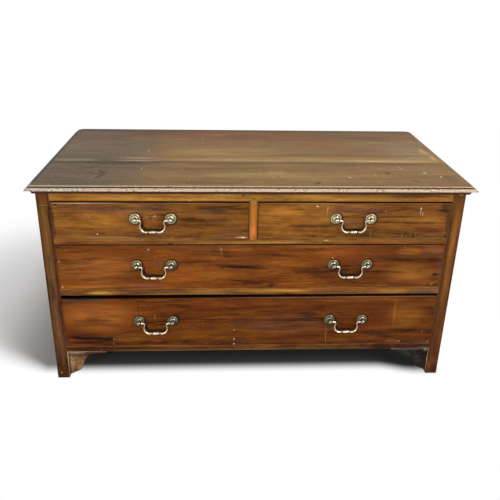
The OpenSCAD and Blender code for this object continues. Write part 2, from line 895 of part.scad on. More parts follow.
bail(LOWER, lower_handle_x);  // lower_right_bail
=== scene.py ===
import json
import math

import bmesh
import bpy
from mathutils import Matrix, Vector, noise

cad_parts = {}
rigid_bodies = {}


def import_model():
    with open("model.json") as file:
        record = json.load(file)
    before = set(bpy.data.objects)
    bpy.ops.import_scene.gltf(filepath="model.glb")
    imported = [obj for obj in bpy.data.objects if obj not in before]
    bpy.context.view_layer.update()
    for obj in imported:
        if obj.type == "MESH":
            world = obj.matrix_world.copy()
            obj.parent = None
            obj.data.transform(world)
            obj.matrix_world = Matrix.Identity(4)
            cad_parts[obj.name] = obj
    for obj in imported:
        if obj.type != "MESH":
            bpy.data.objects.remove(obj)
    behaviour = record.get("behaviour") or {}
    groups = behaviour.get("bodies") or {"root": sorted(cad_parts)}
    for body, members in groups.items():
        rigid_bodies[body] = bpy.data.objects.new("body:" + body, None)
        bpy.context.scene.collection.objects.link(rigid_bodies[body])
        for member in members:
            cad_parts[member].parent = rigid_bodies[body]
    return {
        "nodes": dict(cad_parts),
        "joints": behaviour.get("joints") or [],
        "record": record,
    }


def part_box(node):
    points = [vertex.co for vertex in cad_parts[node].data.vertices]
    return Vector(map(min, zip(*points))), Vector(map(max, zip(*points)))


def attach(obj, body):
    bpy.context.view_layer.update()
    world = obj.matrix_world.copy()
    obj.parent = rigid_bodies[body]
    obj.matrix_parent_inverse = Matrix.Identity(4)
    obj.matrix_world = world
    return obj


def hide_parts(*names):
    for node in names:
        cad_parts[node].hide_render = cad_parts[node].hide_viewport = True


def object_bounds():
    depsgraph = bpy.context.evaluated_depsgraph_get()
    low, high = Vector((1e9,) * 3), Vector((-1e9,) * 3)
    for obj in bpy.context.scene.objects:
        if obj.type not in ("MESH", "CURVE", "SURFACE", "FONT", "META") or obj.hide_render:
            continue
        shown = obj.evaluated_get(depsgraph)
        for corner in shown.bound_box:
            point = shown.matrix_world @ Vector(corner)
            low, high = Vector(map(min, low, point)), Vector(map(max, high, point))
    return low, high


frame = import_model()
cad_low, cad_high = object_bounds()
nodes = frame["nodes"]
scene = bpy.context.scene
MM = 0.001

# Camera, fitted to the reference: the place, the turns and the lens go together.
CAMERA_PLACE = Vector((-0.08258, -1.58763, 1.05201))
CAMERA_YAW = -0.05365
CAMERA_PITCH = -0.38719
CAMERA_ROLL = -0.021566
CAMERA_LENS = 41.89
CAMERA_SHIFT_Y = -0.08


def make_camera():
    data = bpy.data.cameras.new("camera")
    data.lens = CAMERA_LENS
    data.sensor_width = 36.0
    data.shift_y = CAMERA_SHIFT_Y
    camera = bpy.data.objects.new("camera", data)
    turn = (Matrix.Rotation(CAMERA_YAW, 4, "Z") @ Matrix.Rotation(CAMERA_PITCH, 4, "X")
            @ Matrix.Rotation(CAMERA_ROLL, 4, "Y") @ Matrix.Rotation(math.pi / 2, 4, "X"))
    camera.matrix_world = Matrix.Translation(CAMERA_PLACE) @ turn
    scene.collection.objects.link(camera)
    scene.camera = camera


# Shader helpers

BLACK = (0.0, 0.0, 0.0, 1.0)
WHITE = (1.0, 1.0, 1.0, 1.0)
ORIGIN = (0.0, 0.0, 0.0)
ONES = (1.0, 1.0, 1.0)


def shade(red, green, blue):
    """A colour given as it looks on a screen, 0 to 255, turned into light."""
    def light(c):
        c = c / 255
        return c / 12.92 if c <= 0.04045 else ((c + 0.055) / 1.055) ** 2.4
    return (light(red), light(green), light(blue), 1.0)


class Value:
    """What a shader node gives. Reckoning with it adds further nodes to its tree."""
    def __init__(self, tree, socket):
        self.tree, self.socket = tree, socket

    def __add__(self, other):
        return calc("ADD", self, other)

    def __sub__(self, other):
        return calc("SUBTRACT", self, other)

    def __rsub__(self, other):
        return calc("SUBTRACT", other, self)

    def __mul__(self, other):
        return calc("MULTIPLY", self, other)

    def __truediv__(self, other):
        return calc("DIVIDE", self, other)

    def __abs__(self):
        return calc("ABSOLUTE", self)


class Made:
    """A shader node. Its outputs are taken by name or number, or unpacked in order."""
    def __init__(self, tree, node):
        self.tree, self.node = tree, node

    def __getitem__(self, key):
        return Value(self.tree, self.node.outputs[key])


def feed(tree, socket, value):
    """Links a node's value to an input, or sets the input to a plain value."""
    if isinstance(value, Value):
        tree.links.new(value.socket, socket)
    else:
        socket.default_value = value


def put(tree, kind, settings=None, **inputs):
    """Adds a shader node; inputs are socket names with underscores, or i0, i1 and so on."""
    node = tree.nodes.new("ShaderNode" + kind)
    for key, value in (settings or {}).items():
        setattr(node, key, value)
    for key, value in inputs.items():
        numbered = key[0] == "i" and key[1:].isdigit()
        feed(tree, node.inputs[int(key[1:]) if numbered else key.replace("_", " ")], value)
    return Made(tree, node)


def tree_of(*values):
    """The node tree that the first node's value among these belongs to."""
    return next(value.tree for value in values if isinstance(value, Value))


def calc(operation, a, b=0.0, c=0.0):
    return put(tree_of(a, b, c), "Math", {"operation": operation}, i0=a, i1=b, i2=c)[0]


def larger(a, b):
    return calc("MAXIMUM", a, b)


def smaller(a, b):
    return calc("MINIMUM", a, b)


def scaled(value, by, plus):
    return calc("MULTIPLY_ADD", value, by, plus)


def vector_calc(operation, a, b=ORIGIN):
    made = put(tree_of(a, b), "VectorMath", {"operation": operation}, i0=a, i1=b)
    return made["Value" if operation in ("LENGTH", "DOT_PRODUCT") else "Vector"]


def blend(amount, a, b, mode="MIX"):
    """Mixes two colours."""
    made = put(tree_of(amount, a, b), "Mix", {"data_type": "RGBA", "blend_type": mode},
               i0=amount, i6=a, i7=b)
    return made[2]


def ramp(value, low, high, start=0.0, end=1.0):
    """A smooth step of value, from start at low to end at high."""
    return put(value.tree, "MapRange", {"interpolation_type": "SMOOTHSTEP"},
               Value=value, From_Min=low, From_Max=high, To_Min=start, To_Max=end)[0]


def cloud(place, scale, detail, rough, stretch=ONES, twist=0.0):
    """Noise, stretched along the axes that have a small factor."""
    stretched = vector_calc("MULTIPLY", place, stretch)
    return put(place.tree, "TexNoise", Vector=stretched, Scale=scale, Detail=detail,
               Roughness=rough, Distortion=twist)[0]


def shader_group(name, inputs, outputs, build):
    """A shader node group. Inputs are named with their defaults: four numbers make a colour, three
    a vector and one a plain value. Of the outputs only the one named Color is a colour."""
    tree = bpy.data.node_groups.new(name, "ShaderNodeTree")
    for label, default in inputs.items():
        kind = {3: "Vector", 4: "Color"}[len(default)] if isinstance(default, tuple) else "Float"
        socket = tree.interface.new_socket(label, in_out="INPUT", socket_type="NodeSocket" + kind)
        socket.default_value = default
    for label in outputs:
        kind = "Color" if label == "Color" else "Float"
        tree.interface.new_socket(label, in_out="OUTPUT", socket_type="NodeSocket" + kind)
    taken = tree.nodes.new("NodeGroupInput")
    given = tree.nodes.new("NodeGroupOutput")
    for label, value in build(tree, Made(tree, taken)).items():
        feed(tree, given.inputs[label], value)
    return tree


def place_group(tree, group, **inputs):
    return put(tree, "Group", {"node_tree": GROUPS[group]}, **inputs)


# Shared effects



def build_wood_grain(tree, given):
    """Straight grain along X of Place: clouds, streaks, fine lines and pores, in drifting hues."""
    shift = put(tree, "CombineXYZ", X=given["Board"] * 3.17, Y=given["Board"] * 1.73,
                Z=given["Board"] * 0.91)[0]
    here = vector_calc("ADD", given["Place"], shift)
    sway = cloud(here, 3.0, 2.0, 0.5, (1.0, 2.0, 2.0))
    lift = (sway - 0.5) * 0.022
    wavy = vector_calc("ADD", here, put(tree, "CombineXYZ", X=0.0, Y=lift, Z=lift)[0])
    figure = cloud(wavy, 1.0, 3.0, 0.6, (3.2, 22.0, 22.0), 0.5)
    streaks = cloud(wavy, 1.0, 3.0, 0.55, (5.5, 85.0, 85.0), 0.3)
    lines = cloud(wavy, 1.0, 3.0, 0.6, (10.0, 340.0, 340.0))
    mottle = cloud(here, 1.0, 4.0, 0.6, (13.0, 42.0, 42.0))
    fleck = cloud(here, 1.0, 2.0, 0.6, (50.0, 330.0, 330.0))
    pores = ramp(cloud(here, 1.0, 2.0, 0.5, (110.0, 1500.0, 1500.0)), 0.6, 0.72)
    tone = 0.0
    for layer, share in ((figure, 0.28), (streaks, 0.28), (lines, 0.12), (mottle, 0.18),
                         (fleck, 0.14)):
        tone = scaled(layer, share, tone)
    spread = (tone - 0.5) * given["Contrast"]
    tone = spread + 0.5
    colour = blend(ramp(tone, 0.15, 0.5), given["Dark"], given["Middle"])
    colour = blend(ramp(tone, 0.5, 0.85), colour, given["Light"])
    warm = cloud(here, 1.0, 3.0, 0.6, (5.0, 16.0, 16.0), 0.5)
    cool = cloud(vector_calc("ADD", here, (7.3, 2.9, 5.1)), 1.0, 3.0, 0.6, (6.0, 24.0, 24.0), 0.5)
    warm = ramp(warm, 0.48, 0.68) * given["Blotch"]
    cool = ramp(cool, 0.5, 0.7) * given["Blotch"]
    colour = blend(warm, colour, blend(0.45, given["Red"], colour))
    colour = blend(cool, colour, blend(0.45, given["Gold"], colour))
    pore_tint = blend(0.55, colour, given["Dark"])
    colour = blend(pores * given["Pores"], colour, pore_tint)
    height = lines * 0.5 - pores * 0.5
    height = height + streaks * 0.4
    ragged = streaks * 1.3 + fleck * 1.2
    ragged = ragged + mottle * 1.5 - 2.0
    crumbs = ramp(cloud(here, 1.0, 2.0, 0.6, (330.0, 330.0, 330.0)), 0.5, 0.57)
    return {"Color": colour, "Height": height, "Tone": tone, "Ragged": ragged, "Crumbs": crumbs,
            "Shade": ramp(tone, 0.05, 0.95, 0.42, 1.6)}


def build_stain(tree, given):
    """A soft-edged patch. Reach holds its half-widths, Turn its slant, Ragged breaks its edge,
    and Broken leaves only the crumbs of it."""
    away = vector_calc("SUBTRACT", given["Place"], given["Middle"])
    away = put(tree, "VectorRotate", {"rotation_type": "EULER_XYZ"}, Vector=away,
               Rotation=given["Turn"])[0]
    away = vector_calc("DIVIDE", away, given["Reach"])
    distance = vector_calc("LENGTH", away) + given["Ragged"]
    missing = given["Broken"] * (1.0 - given["Crumbs"])
    whole = ramp(distance, 1.2, 0.4) * given["Strength"]
    return {"Mask": whole * (1.0 - missing)}


# Painted shadow behind a handle, a little to its right: the middles of its plates, and the
# rounded band of the bail's shadow
HANDLE_HALF = 44.5 * MM
# How far the painted shadow lies to the right of the handle
SHADOW_ASIDE = 1.5 * MM
BAND_HALF = 28.7 * MM
BAND_DROP = 30.6 * MM
TURN_R = 14.5 * MM


def build_handle_shadow(tree, given):
    """Painted shadow round the two plates and behind the bail. Middle is the handle's pivot line.
    """
    away = vector_calc("SUBTRACT", given["Place"], given["Middle"])
    x, _, z = put(tree, "SeparateXYZ", Vector=away)
    aside = abs(x - SHADOW_ASIDE) - HANDLE_HALF
    plate = calc("SQRT", aside * aside + z * z)
    near_plate = ramp(plate, 0.02, 0.0145) * 0.75
    across = abs(x - SHADOW_ASIDE) - (BAND_HALF - TURN_R)
    down = z * -1.0 - (BAND_DROP - TURN_R)
    across, down = larger(across, 0.0), larger(down, 0.0)
    from_turn = calc("SQRT", across * across + down * down)
    band = abs(from_turn - TURN_R)
    behind = ramp(band, 0.0058, 0.002) * ramp(z, -0.003, -0.012)
    behind = behind * ramp(x, 0.012, 0.034, 0.92, 0.45)
    return {"Mask": larger(near_plate, behind)}


def build_board_edge(tree, given):
    """How near a point on a board's surface is to the board's edges, from the board's box."""
    low = put(tree, "SeparateXYZ", Vector=vector_calc("SUBTRACT", given["Place"], given["Low"]))
    high = put(tree, "SeparateXYZ", Vector=vector_calc("SUBTRACT", given["High"], given["Place"]))
    x, y, z = (smaller(low[i], high[i]) for i in range(3))
    inner = smaller(larger(x, y), z)
    middle = larger(smaller(x, y), inner)
    nibble = cloud(given["Place"], 90.0, 4.0, 0.7)
    wander = cloud(given["Place"], 14.0, 2.0, 0.5)
    rough = (nibble - 0.5) * given["Width"]
    reach = given["Width"] * ramp(wander, 0.35, 0.7, 0.35, 1.3)
    near = middle + rough - reach
    worn = ramp(near, 0.0005, -0.0005)
    soft = ramp(middle, given["Width"] * 4.0, 0.0)
    return {"Worn": worn, "Soft": soft}


def build_specks(tree, given):
    """Small chips and scratches where the finish is gone."""
    chip = put(tree, "TexVoronoi", {"feature": "F1"}, Vector=given["Place"], Scale=given["Scale"],
               Randomness=1.0)
    few = put(tree, "TexWhiteNoise", {"noise_dimensions": "3D"}, Vector=chip["Position"])[0]
    chosen = calc("GREATER_THAN", few, 1.0 - given["Share"])
    dot = ramp(chip["Distance"], given["Size"], given["Size"] * 0.6)
    return {"Mask": dot * chosen}


def build_brass(tree, given):
    """Aged brass, tarnished in its hollows, with painted shade on the sides that face away from
    the light and on the shady side that the meshes mark. Up is how far it faces the light."""
    slow = cloud(given["Place"], 160.0, 4.0, 0.6)
    fine = cloud(given["Place"], 900.0, 3.0, 0.6)
    dull = ramp(slow + fine * 0.15, 0.53, 0.78)
    hollow = larger(dull, given["Hollow"])
    colour = blend(hollow, given["Bright"], given["Dull"])
    # Painted shade on the sides that face away from the light
    shade_below = given["Up"] + (slow - 0.5) * 0.8
    shade_below = ramp(shade_below, 0.25, -0.65) * given["Tarnish"]
    # Tarnish in the hollows, and the painted shade that the meshes mark
    grime = given["Hollow"] * ramp(slow, 0.3, 0.6, 0.5, 1.0)
    grime = larger(grime, shade_below)
    colour = blend(grime, colour, given["Grime"])
    rough = hollow * 0.28 + fine * 0.12
    metal = 1.0 - grime * 0.75
    return {"Color": colour, "Roughness": rough + 0.16, "Metallic": metal,
            "Height": slow + fine * 0.3}


def build_groups():
    return {
        "grain": shader_group("wood grain", {
            "Place": ORIGIN, "Board": 0.0, "Light": BLACK, "Middle": BLACK, "Dark": BLACK,
            "Red": BLACK, "Gold": BLACK, "Contrast": 2.0, "Blotch": 0.8, "Pores": 0.6},
            ("Color", "Height", "Tone", "Ragged", "Crumbs", "Shade"), build_wood_grain),
        "stain": shader_group("stain", {
            "Place": ORIGIN, "Middle": ORIGIN, "Reach": ONES, "Turn": ORIGIN, "Ragged": 0.0,
            "Strength": 1.0, "Broken": 0.0, "Crumbs": 1.0}, ("Mask",), build_stain),
        "handle_grime": shader_group("handle shadow", {
            "Place": ORIGIN, "Middle": ORIGIN}, ("Mask",), build_handle_shadow),
        "edge": shader_group("board edge", {
            "Place": ORIGIN, "Low": ORIGIN, "High": ONES, "Width": 0.002},
            ("Worn", "Soft"), build_board_edge),
        "specks": shader_group("specks", {
            "Place": ORIGIN, "Scale": 60.0, "Share": 0.1, "Size": 0.1}, ("Mask",), build_specks),
        "brass": shader_group("aged brass", {
            "Place": ORIGIN, "Bright": BLACK, "Dull": BLACK, "Grime": BLACK, "Hollow": 0.0,
            "Up": 1.0, "Tarnish": 0.6},
            ("Color", "Roughness", "Metallic", "Height"), build_brass),
    }


# Finishes: the tones of the wood, its contrast, gloss and wear

class Finish:
    def __init__(self, light, middle, dark, red, gold, contrast=4.0, blotch=0.8, pores=0.6,
                 rough=0.42, sheen=0.055, coat=0.02, worn=(186, 132, 78), grime=(42, 22, 12),
                 edge=1.4 * MM, edge_worn=0.6, edge_grime=0.55, specks=0.05):
        self.light, self.middle, self.dark = shade(*light), shade(*middle), shade(*dark)
        self.red, self.gold = shade(*red), shade(*gold)
        self.contrast, self.blotch, self.pores = contrast, blotch, pores
        self.rough, self.sheen, self.coat = rough, sheen, coat
        self.worn, self.grime = shade(*worn), shade(*grime)
        self.edge, self.edge_worn, self.edge_grime = edge, edge_worn, edge_grime
        self.specks = specks


RED_HUE = (142, 70, 32)
GOLD_HUE = (158, 104, 40)

FINISHES = {
    "top": Finish((156, 124, 72), (126, 95, 54), (90, 64, 40), (132, 84, 44), (136, 108, 58), 2.0,
                  0.8, 0.8, 0.5, 0.07, 0.02, worn=(196, 184, 158), grime=(52, 40, 30), specks=0.04),
    "post": Finish((124, 79, 28), (95, 57, 20), (54, 28, 10), (98, 50, 22), (124, 90, 36), 3.6,
                   edge_worn=0.25),
    "top_rail": Finish((196, 142, 62), (168, 114, 44), (118, 70, 26), (168, 98, 38), (178, 134, 58),
                       3.4, edge_worn=0.3),
    "rail": Finish((160, 104, 40), (124, 74, 27), (64, 32, 12), (122, 60, 28), (152, 106, 42), 4.4,
                   edge_worn=0.3, edge_grime=0.3),
    "divider": Finish((194, 120, 46), (168, 97, 30), (130, 66, 18), (184, 90, 32), (190, 122, 50),
                      2.8, edge_worn=0.2),
    "upper_front": Finish((154, 101, 38), (122, 75, 26), (74, 40, 14), (122, 62, 26), (140, 96, 34),
                          4.5, 0.9, edge_worn=0.22, edge_grime=0.3),
    "middle_front": Finish((142, 80, 21), (109, 57, 13), (58, 26, 6), (116, 52, 15), (136, 82, 20),
                           3.75, 0.9, edge_worn=0.2, edge_grime=0.35),
    "lower_front": Finish((128, 71, 16), (97, 48, 9), (52, 22, 4), (104, 43, 11), (122, 70, 16),
                          3.55, 0.9, edge_worn=0.2, edge_grime=0.4),
    "side": Finish((146, 92, 38), (108, 62, 24), (58, 31, 12), RED_HUE, GOLD_HUE, 3.7),
    "inner": Finish((196, 160, 112), (172, 134, 90), (128, 92, 56), (176, 130, 86), (186, 150, 100),
                    2.5, 0.6, 0.5, 0.72, 0.1, 0.0, worn=(206, 178, 138), grime=(96, 70, 44),
                    edge_worn=0.4, edge_grime=0.3, specks=0.0),
    "bracket": Finish((119, 85, 51), (79, 54, 31), (42, 24, 12), (116, 70, 42), (130, 102, 58), 4.6,
                      0.8, 0.6, 0.6, 0.1, 0.0, worn=(190, 158, 126), edge=2.2 * MM, edge_worn=0.7,
                      edge_grime=0.3),
}


# Marks: patches, streaks, chips and scratches that use has left, and painted shade, shadow and
# highlights

CREAM = (238, 218, 184)
PALE = (214, 176, 124)
OCHRE = (208, 152, 68)
GOLD = (156, 100, 36)
AMBER = (162, 92, 32)
FLAME = (196, 104, 54)
RUSSET = (140, 68, 26)
SMOKE = (92, 66, 52)
PLUM = (108, 66, 50)
UMBER = (56, 30, 14)
# Dark marks, and painted shade in the gaps above the lower front and beside the upper left front
SOOT_AND_SHADE = (36, 22, 16)
OLIVE = (124, 102, 64)


FRONT_Y = -245.5
FRONT_DEEP = 30.0
TOP_FACE_Z = 574.0
TOP_DEEP = 60.0


class Mark:
    """A patch with its middle and half-widths in millimetres, and its slant in degrees about
    the axis that looks out of the face."""
    def __init__(self, colour, middle, reach, axis, strength, ragged=0.5, slant=0.0, broken=0.0):
        self.colour, self.strength = shade(*colour), strength
        self.ragged, self.broken = ragged, broken
        self.middle = tuple(c * MM for c in middle)
        self.reach = tuple(c * MM for c in reach)
        self.slant = tuple(math.radians(slant) if letter == axis else 0.0 for letter in "xyz")


def front_marks(*rows):
    """Marks on the front: (colour, x, z, half width, half height, strength, ragged, slant,
    broken)."""
    return [Mark(colour, (x, FRONT_Y, z), (half_x, FRONT_DEEP, half_z), "y", *rest)
            for colour, x, z, half_x, half_z, *rest in rows]


def top_marks(*rows):
    """Marks on the top: (colour, x, y, half width, half depth, strength, ragged, slant)."""
    return [Mark(colour, (x, y, TOP_FACE_Z), (half_x, half_y, TOP_DEEP), "z", *rest)
            for colour, x, y, half_x, half_y, *rest in rows]


DRAWER_FRONTS = ("upper_left_front", "upper_right_front", "middle_front", "lower_front")

# Painted shade: broad darkening, strongest at the right ends of the fronts
SHADE = (64, 34, 16)
# Painted deep shade: in the gaps below the top rail and the middle rail, where the bottom rail
# meets the left bracket, where the feet stand on the floor, and over the right bracket
DEEP_SHADE = (22, 13, 9)
DULL_GOLD = (146, 104, 42)

